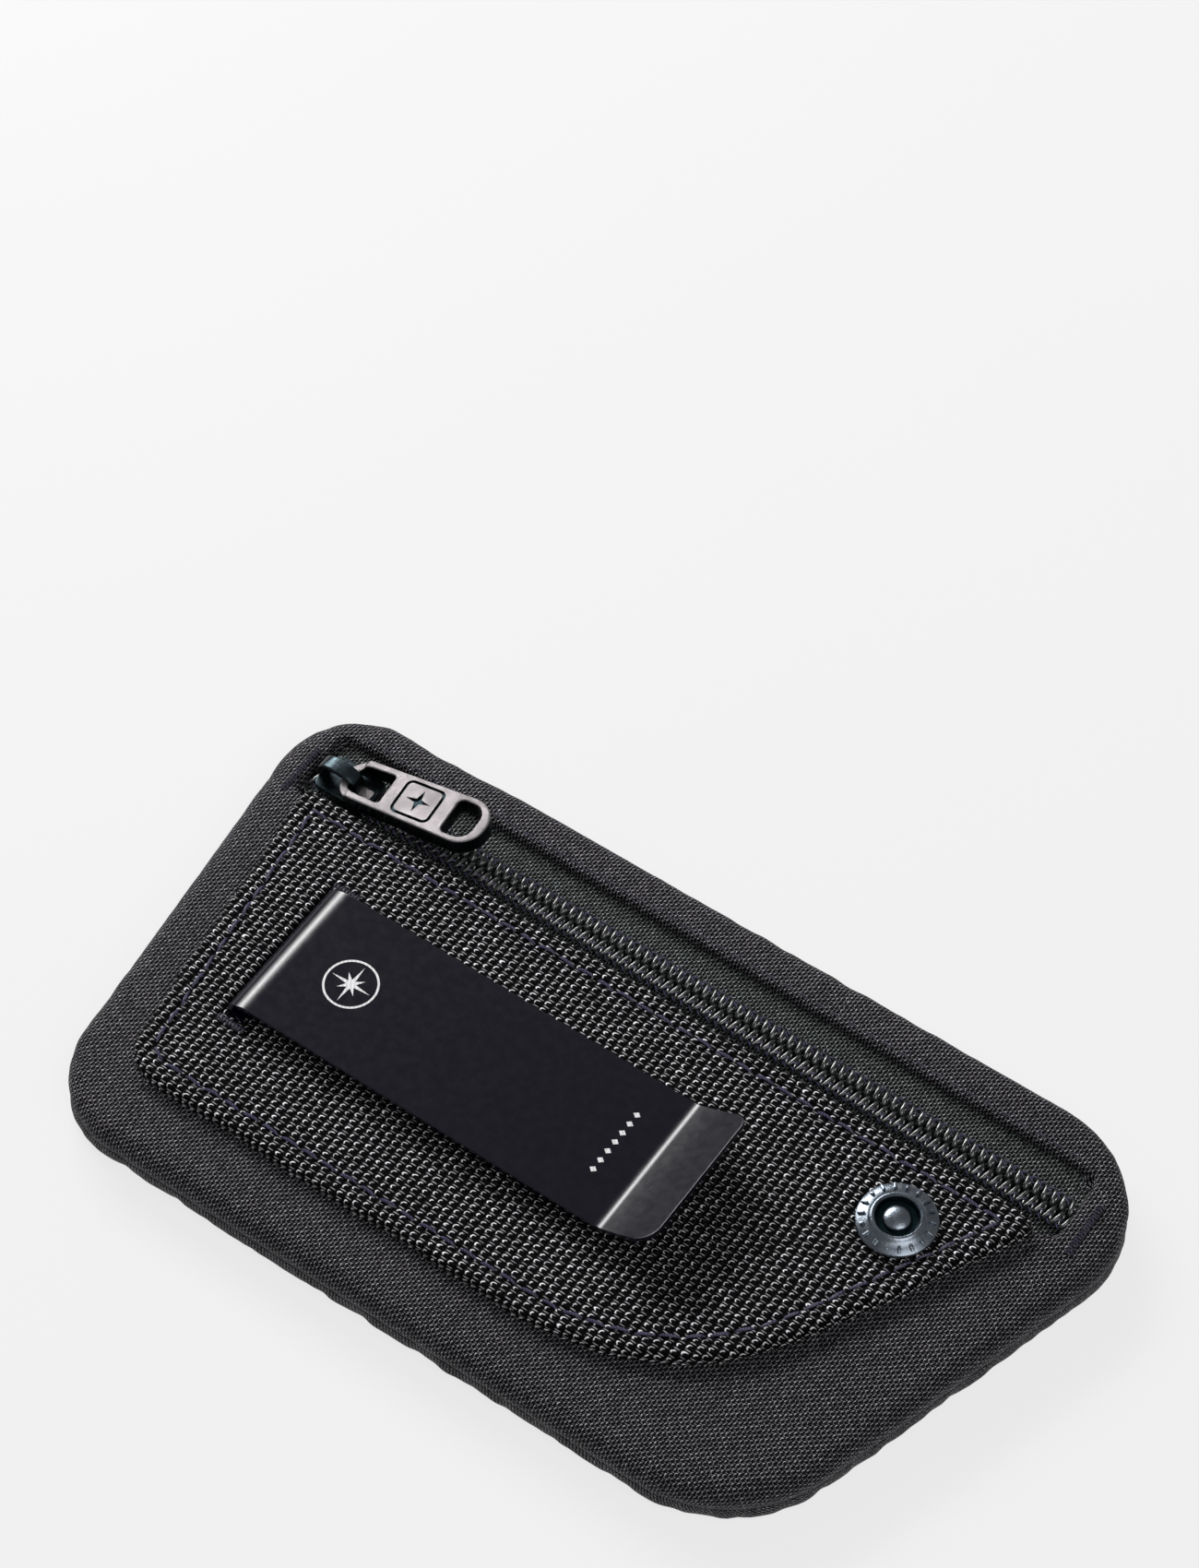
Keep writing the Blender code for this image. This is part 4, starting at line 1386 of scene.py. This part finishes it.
def stitch_mesh(length: float, radius: float, sag: float = 0.16) -> bmesh.types.BMesh:
    """One visible stitch along X, sinking into the cloth at both ends.

    Args:
        length: End to end.
        radius: The thread's radius.
        sag: How far the ends sink.

    Returns:
        The stitch.
    """
    points, radii = [], []
    for step in range(7):
        share = step / 6.0 * 2.0 - 1.0
        points.append(Vector((share * length / 2.0, 0.0, radius + sag - 2.2 * sag * abs(share) ** 3)))
        radii.append(radius * (1.0 - 0.45 * abs(share) ** 4))
    return tube(points, radii, 6)


# ---------------------------------------------------------------- zip


@dataclass(frozen=True)
class ZipSizes:
    """Sizes of the coil zip."""

    line: float = 22.4
    ends: tuple[float, float] = (-57.4, 56.4)
    tape: tuple[float, float] = (4.8, 5.25)
    tape_edges: tuple[float, float] = (13.0, 29.6)
    pitch: float = 1.25
    filament: float = 0.27
    loop: tuple[float, float] = (0.98, 0.43)
    loop_centre: tuple[float, float] = (1.02, 6.05)


class Zip:
    """The two tapes, the two coils, and the slider's runs of stitching."""

    def __init__(self, sizes: ZipSizes, palette: Palette) -> None:
        """Args:
        sizes: The zip's sizes.
        palette: The finishes.
        """
        self.sizes = sizes
        self.palette = palette

    def turn(self, side: float) -> bmesh.types.BMesh:
        """One turn of a coil, narrowest where it meets the other side.

        Args:
            side: 1 above the zip's line, -1 below it.

        Returns:
            One turn.
        """
        s = self.sizes
        points = []
        for step in range(15):
            angle = 2.0 * math.pi * step / 14.0
            across = s.loop_centre[0] + s.loop[0] * math.cos(angle)
            up = s.loop_centre[1] + s.loop[1] * math.sin(angle)
            lean = s.pitch * (step / 14.0) + 0.16 * math.sin(angle)
            points.append(Vector((lean, s.line + side * across, up)))
        return tube(points, [s.filament] * 15, 6)

    def build(self) -> list[bpy.types.Object]:
        """Makes the coils, the tapes and the thread that holds each coil down.

        Returns:
            The pieces.
        """
        s, pieces = self.sizes, []
        for name, side, edge in (("upper", 1.0, s.tape_edges[1]), ("lower", -1.0, s.tape_edges[0])):
            shift = 0.0 if side > 0.0 else s.pitch / 2.0
            count = int((s.ends[1] - s.ends[0] - 1.2) / s.pitch)
            starts = [s.ends[0] + 0.4 + shift + index * s.pitch for index in range(count)]
            coil = copies(self.turn(side), [Matrix.Translation((x, 0.0, 0.0)) for x in starts])
            pieces.append(add_piece(f"coil_{name}", coil, self.palette.nylon, Body.POUCH,
                                    [f"zip_coil_{name}"], 60.0))
            inner = s.line + side * 0.3
            low, high = sorted((inner, edge))

            def lay(flat: np.ndarray) -> tuple[np.ndarray, np.ndarray]:
                """Lays the tape nearly flat under its coil.

                Args:
                    flat: Places on the flat tape.

                Returns:
                    Where each goes; none is past the cloth.
                """
                wave = 0.05 * np.sin(flat[:, 0] / 3.7) * np.sin(flat[:, 1] / 2.3)
                z = np.full(len(flat), s.tape[1]) - 0.05 + wave
                return np.column_stack((flat, z)), np.zeros(len(flat))

            tape = cloth_grid(even_steps(*s.ends, 1.2), even_steps(low, high, 0.6), lay)
            strip = add_piece(f"tape_{name}", tape, self.palette.tape, Body.POUCH,
                              [f"zip_tape_{name}"], 180.0)
            add_modifier(strip, "SOLIDIFY", thickness=0.4 * MM, offset=-1.0)
            pieces.append(strip)
            places = []
            for index in range(int((s.ends[1] - s.ends[0] - 1.5) / s.pitch)):
                x = s.ends[0] + 1.0 + shift + index * s.pitch
                for across, turn in ((1.95, 0.5), (1.45, -0.5)):
                    place = Matrix.Translation((x, s.line + side * across, 6.28 if across < 1.6 else 5.95))
                    places.append(place @ Matrix.Rotation(turn * side, 4, "Z"))
            pieces.append(add_piece(f"coil_stitches_{name}", copies(stitch_mesh(1.15, 0.13, 0.1), places),
                                    self.palette.thread, Body.POUCH))
        return pieces


@dataclass(frozen=True)
class SliderSizes:
    """Sizes of the slider and of the crown over the puller's bar."""

    left: float = -55.5
    length: float = 8.1
    nose: tuple[float, float] = (2.9, 1.3)
    tail: tuple[float, float] = (2.65, 0.9)
    top: tuple[float, float] = (6.95, 7.75)
    low: tuple[float, float] = (3.85, 4.65)
    line: float = 22.4
    crown_x: float = -52.6
    crown_y: float = 22.1
    crown_span: float = 2.75
    crown_height: float = 2.5
    crown_thickness: float = 0.75
    crown_width: float = 2.0
    crown_foot: float = 7.82
    squareness: float = 2.8


class Slider:
    """The cast slider: two plates, a bridge, side flanges and the crown."""

    def __init__(self, sizes: SliderSizes, palette: Palette) -> None:
        """Args:
        sizes: The slider's sizes.
        palette: The finishes.
        """
        self.sizes = sizes
        self.palette = palette

    def corners(self, trim: float = 0.0) -> tuple[Corner, ...]:
        """The plates' outline, a little narrower at the tail.

        Args:
            trim: How far inside.

        Returns:
            The corners.
        """
        s = self.sizes
        right = s.left + s.length - trim
        nose, tail = s.nose[0] - trim, s.tail[0] - trim
        return (
            (s.left + trim, s.line - nose, s.nose[1]),
            (right, s.line - tail, s.tail[1]),
            (right, s.line + tail, s.tail[1]),
            (s.left + trim, s.line + nose, s.nose[1]),
        )

    def build(self) -> list[bpy.types.Object]:
        """Makes the body and the crown.

        Returns:
            The pieces.
        """
        s = self.sizes
        body = plate(Outline(self.corners(), steps=6).points, *s.top, edge=0.24, segments=3)
        dish = plate(Outline(self.corners(0.75), steps=5).points, s.top[1] - 0.12, s.top[1] + 0.4)
        body = cut(body, dish)
        lower = plate(Outline(self.corners(0.2), steps=6).points, *s.low, edge=0.2)
        rib = box_corners(s.left + 0.5, s.left + 2.3, s.line - 0.22, s.line + 0.22, 0.15)
        bridge = plate(Outline(rib, steps=3).points,
                       s.low[1] - 0.2, s.top[0] + 0.2)
        join(body, lower, bridge)
        for side in (-1.0, 1.0):
            near, far = sorted((s.line + side * 2.15, s.line + side * 2.6))
            flange = Outline(box_corners(s.left + 3.0, s.left + s.length - 0.7, near, far, 0.15), steps=3)
            join(body, plate(flange.points, 5.5, s.top[0] + 0.2))
        pad = Outline(box_corners(-49.6, -47.75, s.crown_y - 0.75, s.crown_y + 0.75, 0.3), steps=4)
        join(body, plate(pad.points, s.top[1] - 0.3, s.top[1] + 0.35, edge=0.16))
        for face in body.faces:
            x, y, z = face.calc_center_median()
            face.material_index = int(-49.7 < x < -47.7 and abs(y - s.crown_y) < 0.8 and z > s.top[1] - 0.05)
        slider = add_piece("slider_casting", body, [self.palette.slider, self.palette.puller], Body.SLIDER,
                           ["slider_body"])
        profile = []
        for grow, order in ((s.crown_thickness / 2.0, 1), (-s.crown_thickness / 2.0, -1)):
            line = []
            for step in range(33):
                angle = math.pi * step / 32.0
                along = math.copysign(abs(math.cos(angle)) ** (2.0 / s.squareness), math.cos(angle))
                up = max(math.sin(angle), 0.0) ** (2.0 / s.squareness)
                x = s.crown_x - (s.crown_span + grow) * along
                line.append((x, s.crown_foot + (s.crown_height + grow) * up))
            profile += line[::order]
        strap = side_profile(profile, s.crown_y - s.crown_width / 2.0, s.crown_y + s.crown_width / 2.0)
        round_edges(strap, 0.2, 3, 55.0)
        crown = add_piece("crown_strap", strap, self.palette.slider, Body.SLIDER,
                          ["slider_crown"])
        return [flatten(slider), flatten(crown)]


@dataclass(frozen=True)
class PullerSizes:
    """Sizes of the puller, drawn flat about its own bar."""

    axis: tuple[float, float, float] = (-51.35, 22.1, 8.85)
    tilt: float = math.radians(7.0)
    yaw: float = math.radians(5.5)
    start: float = -0.55
    end: float = 20.35
    bar: tuple[float, float] = (3.15, 2.9)
    tip: tuple[float, float] = (3.7, 3.4)
    half: float = 1.2
    thin: float = 0.65
    thin_end: float = 1.3
    window: tuple[float, float] = (0.55, 5.95)
    slot: tuple[float, float] = (15.15, 18.95)
    recess: tuple[float, float, float] = (7.6, 13.3, 2.75)
    recess_depth: float = 0.3
    recess_line: float = 0.42


class Puller:
    """The cast pull tab: a D-shaped window, a sunk star and a grip slot."""

    def __init__(self, sizes: PullerSizes, palette: Palette) -> None:
        """Args:
        sizes: The puller's sizes.
        palette: The finishes.
        """
        self.sizes = sizes
        self.palette = palette

    def place(self) -> Matrix:
        """The puller's rest place, from flat about its bar."""
        s = self.sizes
        return (
            Matrix.Translation(s.axis)
            @ Matrix.Rotation(s.yaw, 4, "Z")
            @ Matrix.Rotation(-s.tilt, 4, "Y")
        )

    def build(self) -> list[bpy.types.Object]:
        """Makes the tab, with a square and a star engraved in it.

        Returns:
            The pieces.
        """
        s = self.sizes
        outline = Outline(tapered((s.start, s.end), (s.bar[0], s.tip[0]), (s.bar[1], s.tip[1])), steps=14)
        window = Outline(tapered(s.window, (2.1, 2.35), (1.8, 0.5)), steps=8).points
        slot = Outline(tapered(s.slot, (2.7, 2.7), (0.7, 1.9)), steps=8).points
        bm = plate(outline.points, -s.half, s.half, [window, slot], edge=0.34, segments=4)
        for x in (s.thin_end - 0.25, s.thin_end + 0.25):
            geometry = bm.verts[:] + bm.edges[:] + bm.faces[:]
            bmesh.ops.bisect_plane(bm, geom=geometry, dist=1e-5, plane_co=(x, 0.0, 0.0),
                                   plane_no=(1.0, 0.0, 0.0))
        for vert in bm.verts:
            share = min(max((vert.co.x - s.thin_end + 0.25) / 0.5, 0.0), 1.0)
            vert.co.z *= s.thin / s.half * (1.0 - share) + share
        x0, x1, half = s.recess
        line = s.recess_line
        hollow = Outline(box_corners(x0, x1, -half, half, 1.0), steps=8).points
        island = Outline(box_corners(x0 + line, x1 - line, line - half, half - line, 0.6), steps=8).points
        floor = s.half - s.recess_depth
        groove = plate(hollow, floor, s.half + 0.5, [island])
        middle = Matrix.Translation(((x0 + x1) / 2.0, 0.0, 0.0))
        star = star_mesh((1.75,), 0.5, floor, s.half + 0.5)
        star.transform(middle)
        bm = cut(cut(bm, groove), star)
        for face in bm.faces:
            centre = face.calc_center_median()
            sunk = abs(centre.z - floor) < 0.05 and x0 < centre.x < x1 and abs(centre.y) < half
            # Painted shade: the sides, the walls of the holes and the sunk square and star take a darker
            # finish than the top face.
            face.material_index = 0 if face.normal.z > 0.35 and not sunk else 1
        bm.transform(self.place())
        finishes = [self.palette.puller, self.palette.puller_side]
        return [flatten(add_piece("pull_tab", bm, finishes, Body.PULLER, ["puller"], 35.0))]


def tapered(
    ends: tuple[float, float], halves: tuple[float, float], radii: tuple[float, float]
) -> tuple[Corner, ...]:
    """A shape about the X axis, with its own half width and corners at each end."""
    return (
        (ends[0], -halves[0], radii[0]),
        (ends[1], -halves[1], radii[1]),
        (ends[1], halves[1], radii[1]),
        (ends[0], halves[0], radii[0]),
    )


def star_mesh(reaches: Sequence[float], waist: float, low: float, high: float) -> bmesh.types.BMesh:
    """A plain star whose points take the given reaches in turn.

    Args:
        reaches: The points' lengths, repeated round the star.
        waist: The radius between the points.
        low: The height of the under side.
        high: The height of the top.

    Returns:
        The star.
    """
    count = 4 * len(reaches)
    points = []
    for step in range(2 * count):
        radius = waist if step % 2 else reaches[(step // 2) % len(reaches)]
        angle = math.pi * step / count
        points.append((radius * math.cos(angle), radius * math.sin(angle)))
    return plate(np.array(points), low, high)


# ---------------------------------------------------------------- clip and rivet


@dataclass(frozen=True)
class ClipSizes:
    """Sizes of the folded steel clip."""

    y: float = -3.1
    width: float = 20.6
    steel: float = 0.7
    bottom: float = 6.75
    top: float = 11.0
    bend_x: float = -40.8
    crease_x: float = 11.2
    crease_radius: float = 3.1
    lip: float = 9.1
    lip_end: float = 3.2
    crease_angle: float = math.radians(27.0)
    lip_curl: float = math.radians(3.5)
    bend_ease: float = 1.3
    near_corner: float = 2.7
    far_corner: float = 1.7
    lower: tuple[float, float] = (-40.35, 6.0)
    edge: float = 0.26


class Clip:
    """The upper leaf with its bend and lip, the lower leaf, and the prints."""

    def __init__(self, sizes: ClipSizes, palette: Palette) -> None:
        """Args:
        sizes: The clip's sizes.
        palette: The finishes.
        """
        self.sizes = sizes
        self.palette = palette

    def profile(self) -> list[tuple[float, float]]:
        """The strip's edge: round the bend, along the leaf and up the lip.

        Returns:
            X and Z of each corner.
        """
        s = self.sizes
        radius = (s.top - s.bottom) / 2.0
        outer, inner = [], []
        for step in range(37):
            angle = -math.pi / 2.0 - math.pi * step / 36.0
            for line, inward in ((outer, 0.0), (inner, s.steel)):
                stretch = radius + s.bend_ease * smooth_step(np.array(step / 36.0), 0.3, 0.7)
                x = s.bend_x + stretch - radius + (stretch - inward) * math.cos(angle)
                line.append((x, s.bottom + radius + (radius - inward) * math.sin(angle)))
        for step in range(11):
            angle = -math.pi / 2.0 + s.crease_angle * step / 10.0
            for line, reach in ((outer, s.crease_radius), (inner, s.crease_radius + s.steel)):
                x = s.crease_x + reach * math.cos(angle)
                line.append((x, s.top + s.crease_radius + reach * math.sin(angle)))
        run = s.lip - s.crease_radius * s.crease_angle
        for step in range(9):
            angle = s.crease_angle + s.lip_curl * (step + 0.5) / 8.5
            length = (run - s.lip_end) / 8.0 if step < 8 else s.lip_end
            for line, shift in ((outer, 1.0), (inner, 0.98)):
                x, z = line[-1]
                line.append((x + shift * length * math.cos(angle), z + shift * length * math.sin(angle)))
        return outer + inner[::-1]

    def build(self) -> list[bpy.types.Object]:
        """Makes both leaves and the prints.

        Returns:
            The pieces.
        """
        s = self.sizes
        low, high = s.y - s.width / 2.0, s.y + s.width / 2.0
        bm = side_profile(self.profile(), low, high)
        for y, corner in ((low, s.near_corner), (high, s.far_corner)):
            side = [e for e in bm.edges if all(abs(v.co.y - y) < 1e-4 for v in e.verts)]
            tip = max(side, key=lambda e: e.verts[0].co.x + e.verts[1].co.x)
            bmesh.ops.bevel(bm, geom=[tip], offset=corner, offset_type="OFFSET", segments=8,
                            profile=0.5, affect="EDGES", material=-1)
        round_edges(bm, s.edge, 3, 50.0)
        leaf = add_piece("spring_leaf", bm, self.palette.steel, Body.CLIP,
                         ["clip_upper_leaf"], 30.0)
        under = Outline(box_corners(*s.lower, low, high, 0.4), steps=4)
        base = add_piece("under_leaf", plate(under.points, s.bottom, s.bottom + s.steel, edge=s.edge),
                         self.palette.steel, Body.POUCH, ["clip_lower_leaf"])
        return [flatten(leaf), flatten(base), self.prints()]

    def prints(self) -> bpy.types.Object:
        """A compass star in a ring, and a row of small diamonds, as thin print on the leaf.

        Returns:
            The prints.
        """
        s = self.sizes
        low, high = s.top - 0.02, s.top + 0.03
        ring = Outline(box_corners(-3.5, 3.5, -3.5, 3.5, 3.49), steps=16).points
        inside = Outline(box_corners(-3.22, 3.22, -3.22, 3.22, 3.21), steps=16).points
        marks = plate(ring, low, high, [inside])
        join(marks, star_mesh((2.85, 1.75), 0.62, low, high))
        marks.transform(Matrix.Translation((-31.8, s.y, 0.0)))
        for index in range(7):
            diamond = plate(np.array(((0.5, 0.0), (0.0, 0.42), (-0.5, 0.0), (0.0, -0.42))), low, high)
            diamond.transform(Matrix.Translation((7.0, s.y + 0.4 + (index - 3) * 1.5, 0.0)))
            join(marks, diamond)
        return add_piece("leaf_prints", marks, self.palette.ink, Body.CLIP)


@dataclass(frozen=True)
class RivetSizes:
    """Sizes of the rivet through the patch."""

    centre: tuple[float, float] = (39.4, 8.7)
    seat: float = 8.65
    flange: float = 5.0
    hole: float = 1.25
    shank: float = 1.0
    head: float = 1.75
    base: tuple[float, float, float] = (3.4, 4.55, 5.3)
    dashes: int = 18


class Rivet:
    """The pressed cap with its ring of dashes, and the domed post through it."""

    def __init__(self, sizes: RivetSizes, palette: Palette) -> None:
        """Args:
        sizes: The rivet's sizes.
        palette: The finishes.
        """
        self.sizes = sizes
        self.palette = palette

    def build(self) -> list[bpy.types.Object]:
        """Makes the cap, its dashes and the post.

        Returns:
            The pieces.
        """
        s = self.sizes
        t = s.seat
        cap_profile = (
            (s.hole, t), (s.flange - 0.3, t), (s.flange - 0.06, t + 0.1), (s.flange, t + 0.28),
            (s.flange - 0.08, t + 0.5), (s.flange - 0.35, t + 0.68), (4.2, t + 0.85), (3.62, t + 1.03),
            (3.4, t + 1.22), (3.2, t + 1.4), (3.02, t + 1.47), (2.84, t + 1.43), (2.7, t + 1.25),
            (2.58, t + 0.9), (2.4, t + 0.6), (s.hole, t + 0.5),
        )
        cap_bm = turned(cap_profile, s.centre, 64)
        for face in cap_bm.faces:
            centre = face.calc_center_median()
            radius = math.hypot(centre.x - s.centre[0], centre.y - s.centre[1])
            # Painted shade: the recess round the post and the cap's under side take the darker finish.
            face.material_index = 1 if radius < 2.68 or centre.z < t + 0.2 else 0
        dash_outline = Outline(box_corners(-0.46, 0.46, -0.21, 0.21, 0.15), steps=3)
        dash = plate(dash_outline.points, -0.1, 0.27, edge=0.09)
        places = []
        for index in range(s.dashes):
            turn = Matrix.Rotation(2.0 * math.pi * (index + 0.3) / s.dashes, 4, "Z")
            lie = Matrix.Translation((4.28, 0.0, t + 0.86)) @ Matrix.Rotation(math.radians(17.0), 4, "Y")
            size = 0.6 if index % 3 == 2 else 1.0
            shrink = Matrix.Diagonal((size, 1.0, 1.0, 1.0))
            places.append(Matrix.Translation((*s.centre, 0.0)) @ turn @ lie @ shrink)
        join(cap_bm, copies(dash, places))
        cap = add_piece("cap_with_dashes", cap_bm, [self.palette.rivet, self.palette.rivet_dark],
                        Body.POUCH, ["rivet_cap"], 35.0)
        head = t + 0.57
        wide, low, high = s.base
        post_profile = (
            (0.0, low), (wide - 0.2, low), (wide, low + 0.3), (wide - 0.2, high), (s.shank, high),
            (s.shank, head), (s.head, head), (s.head, head + 0.25), (s.head * 0.93, head + 0.42),
            (s.head * 0.75, head + 0.6), (s.head * 0.45, head + 0.74), (s.head * 0.2, head + 0.79),
            (0.0, head + 0.8),
        )
        post = add_piece("domed_post", turned(post_profile, s.centre, 48), self.palette.rivet,
                         Body.POUCH, ["rivet_post"], 50.0)
        return [flatten(cap), flatten(post)]


# ---------------------------------------------------------------- sewing


@dataclass(frozen=True)
class TackSizes:
    """Places of the bar tacks and the seam above the zip."""

    left: tuple[float, float, float] = (-58.2, 17.2, 25.0)
    right: tuple[float, float, float] = (57.6, 17.4, 25.4)
    width: float = 0.95
    seam_y: float = 29.5
    seam_x: tuple[float, float] = (-54.5, 52.5)
    panel: float = 6.6


class Sewing:
    """Bar tacks at the zip's ends and the clip's slot, and the seam beside the zip."""

    def __init__(self, sizes: TackSizes, palette: Palette) -> None:
        """Args:
        sizes: Where the sewing is.
        palette: The finishes.
        """
        self.sizes = sizes
        self.palette = palette

    def tack(
        self, name: str, line: tuple[float, float, float], z: float, node: str, along_x: bool = False
    ) -> bpy.types.Object:
        """A dense bar of stitches.

        Args:
            name: The piece's name.
            line: The bar's middle across, and its two ends.
            z: The height of the cloth beneath.
            node: The plain solid it stands for.
            along_x: Whether the bar runs along X.

        Returns:
            The bar.
        """
        middle, low, high = line
        count = int((high - low) / 0.42)
        places = []
        for index in range(count):
            at = low + (index + 0.5) * (high - low) / count
            turn = 0.22 * math.sin(index * 2.4) + (math.pi / 2.0 if along_x else 0.0)
            spot = (at, middle, z) if along_x else (middle, at, z)
            places.append(Matrix.Translation(spot) @ Matrix.Rotation(turn, 4, "Z"))
        bar = copies(stitch_mesh(self.sizes.width, 0.16, 0.12), places)
        return add_piece(name, bar, self.palette.tack_thread, Body.POUCH, [node])

    def build(self) -> list[bpy.types.Object]:
        """Makes every line of sewing that isn't the patch's own.

        Returns:
            The pieces.
        """
        s = self.sizes
        pieces = [
            self.tack("tack_left", s.left, s.panel - 0.02, "bartack_left"),
            self.tack("tack_right", s.right, s.panel - 0.02, "bartack_right"),
            self.tack("clip_stitches_upper", (8.55, -43.35, -39.3), 8.4, "clip_tack_upper", True),
            self.tack("clip_stitches_lower", (-14.75, -43.35, -39.3), 8.4, "clip_tack_lower", True),
        ]
        count = int((s.seam_x[1] - s.seam_x[0]) / 2.4)
        step = (s.seam_x[1] - s.seam_x[0]) / count
        places = [
            Matrix.Translation((s.seam_x[0] + (index + 0.5) * step, s.seam_y, s.panel - 0.12))
            for index in range(count)
        ]
        seam = copies(stitch_mesh(1.9, 0.14, 0.1), places)
        pieces.append(add_piece("zip_seam", seam, self.palette.tack_thread, Body.POUCH,
                                ["zip_seam_thread"]))
        return pieces


# ---------------------------------------------------------------- studio


@dataclass(frozen=True)
class Light:
    """One soft light: the direction it comes from, its distance, size and brightness."""

    name: str
    toward: tuple[float, float, float]
    distance: float
    size: tuple[float, float]
    power: float
    colour: Colour = (1.0, 1.0, 1.0)


@dataclass(frozen=True)
class StudioSizes:
    """The camera's place, the lights and the floor."""

    camera: tuple[float, float, float] = (0.15814, -0.21961, 0.45864)
    azimuth: float = math.radians(35.268)
    elevation: float = math.radians(54.772)
    lens: float = 100.76
    fill: float = 0.26
    floor_glow: float = 0.75
    lights: tuple[Light, ...] = (
        Light("key", (-0.80, 0.47, 0.58), 0.70, (0.60, 0.27), 3.2),
        Light("key_core", (-0.80, 0.47, 0.60), 0.66, (0.40, 0.10), 2.2),
        Light("front", (0.55, -0.25, 0.85), 0.90, (0.60, 0.60), 3.0),
    )


class Studio:
    """A pale plain floor, soft light and the camera."""

    def __init__(self, sizes: StudioSizes) -> None:
        """Args:
        sizes: The studio's sizes.
        """
        self.sizes = sizes

    def build(self) -> None:
        """Sets everything that isn't part of the object."""
        s = self.sizes
        scene = bpy.context.scene
        scene.view_settings.view_transform = "Standard"
        world = bpy.data.worlds.new("room")
        world.use_nodes = True
        world.node_tree.nodes["Background"].inputs["Color"].default_value = (1.0, 1.0, 1.0, 1.0)
        world.node_tree.nodes["Background"].inputs["Strength"].default_value = s.fill
        scene.world = world
        data = bpy.data.cameras.new("camera")
        data.lens, data.sensor_width, data.sensor_fit = s.lens, 36.0, "AUTO"
        data.clip_start, data.clip_end = 0.01, 20.0
        camera = bpy.data.objects.new("camera", data)
        back = Vector((
            math.sin(s.azimuth) * math.cos(s.elevation),
            -math.cos(s.azimuth) * math.cos(s.elevation),
            math.sin(s.elevation),
        ))
        camera.matrix_world = Matrix.Translation(s.camera) @ back.to_track_quat("Z", "Y").to_matrix().to_4x4()
        scene.collection.objects.link(camera)
        scene.camera = camera
        for light in s.lights:
            lamp = bpy.data.lights.new(light.name, "AREA")
            lamp.shape = "RECTANGLE"
            lamp.size, lamp.size_y = light.size
            lamp.energy = light.power
            lamp.color = light.colour
            toward = Vector(light.toward).normalized()
            obj = bpy.data.objects.new(light.name, lamp)
            facing = toward.to_track_quat("Z", "Y").to_matrix().to_4x4()
            obj.matrix_world = Matrix.Translation(toward * light.distance) @ facing
            scene.collection.objects.link(obj)
        self.floor()

    def floor(self) -> None:
        """A wide pale floor with the faintest mottling."""
        bm = bmesh.new()
        bmesh.ops.create_grid(bm, x_segments=8, y_segments=8, size=3.0)
        bmesh.ops.translate(bm, verts=bm.verts[:], vec=(0.0, 0.0, -0.0001))
        mesh = bpy.data.meshes.new("floor")
        bm.to_mesh(mesh)
        bm.free()
        f = Finish("pale_floor", 0.9, specular=0.1)
        mottle = f.noise(f.place(), 0.004, 3.0)
        f.shader.inputs["Emission Color"].default_value = (1.0, 1.0, 1.0, 1.0)
        f.shader.inputs["Emission Strength"].default_value = self.sizes.floor_glow
        greys = ((0.3, (0.112, 0.112, 0.112)), (0.7, (0.120, 0.120, 0.120)))
        mesh.materials.append(f.wear(f.ramp(mottle, greys)))
        obj = bpy.data.objects.new("floor", mesh)
        bpy.context.scene.collection.objects.link(obj)


# ---------------------------------------------------------------- main


def main() -> None:
    """Builds the object, then the studio."""
    logging.basicConfig(level=logging.INFO, format="%(message)s")
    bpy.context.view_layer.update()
    palette = Palette.mixed()
    Pouch(PouchSizes(), palette).build()
    Patch(PatchSizes(), palette).build()
    Zip(ZipSizes(), palette).build()
    Slider(SliderSizes(), palette).build()
    Puller(PullerSizes(), palette).build()
    Clip(ClipSizes(), palette).build()
    Rivet(RivetSizes(), palette).build()
    Sewing(TackSizes(), palette).build()
    Studio(StudioSizes()).build()


if __name__ == "__main__":
    main()
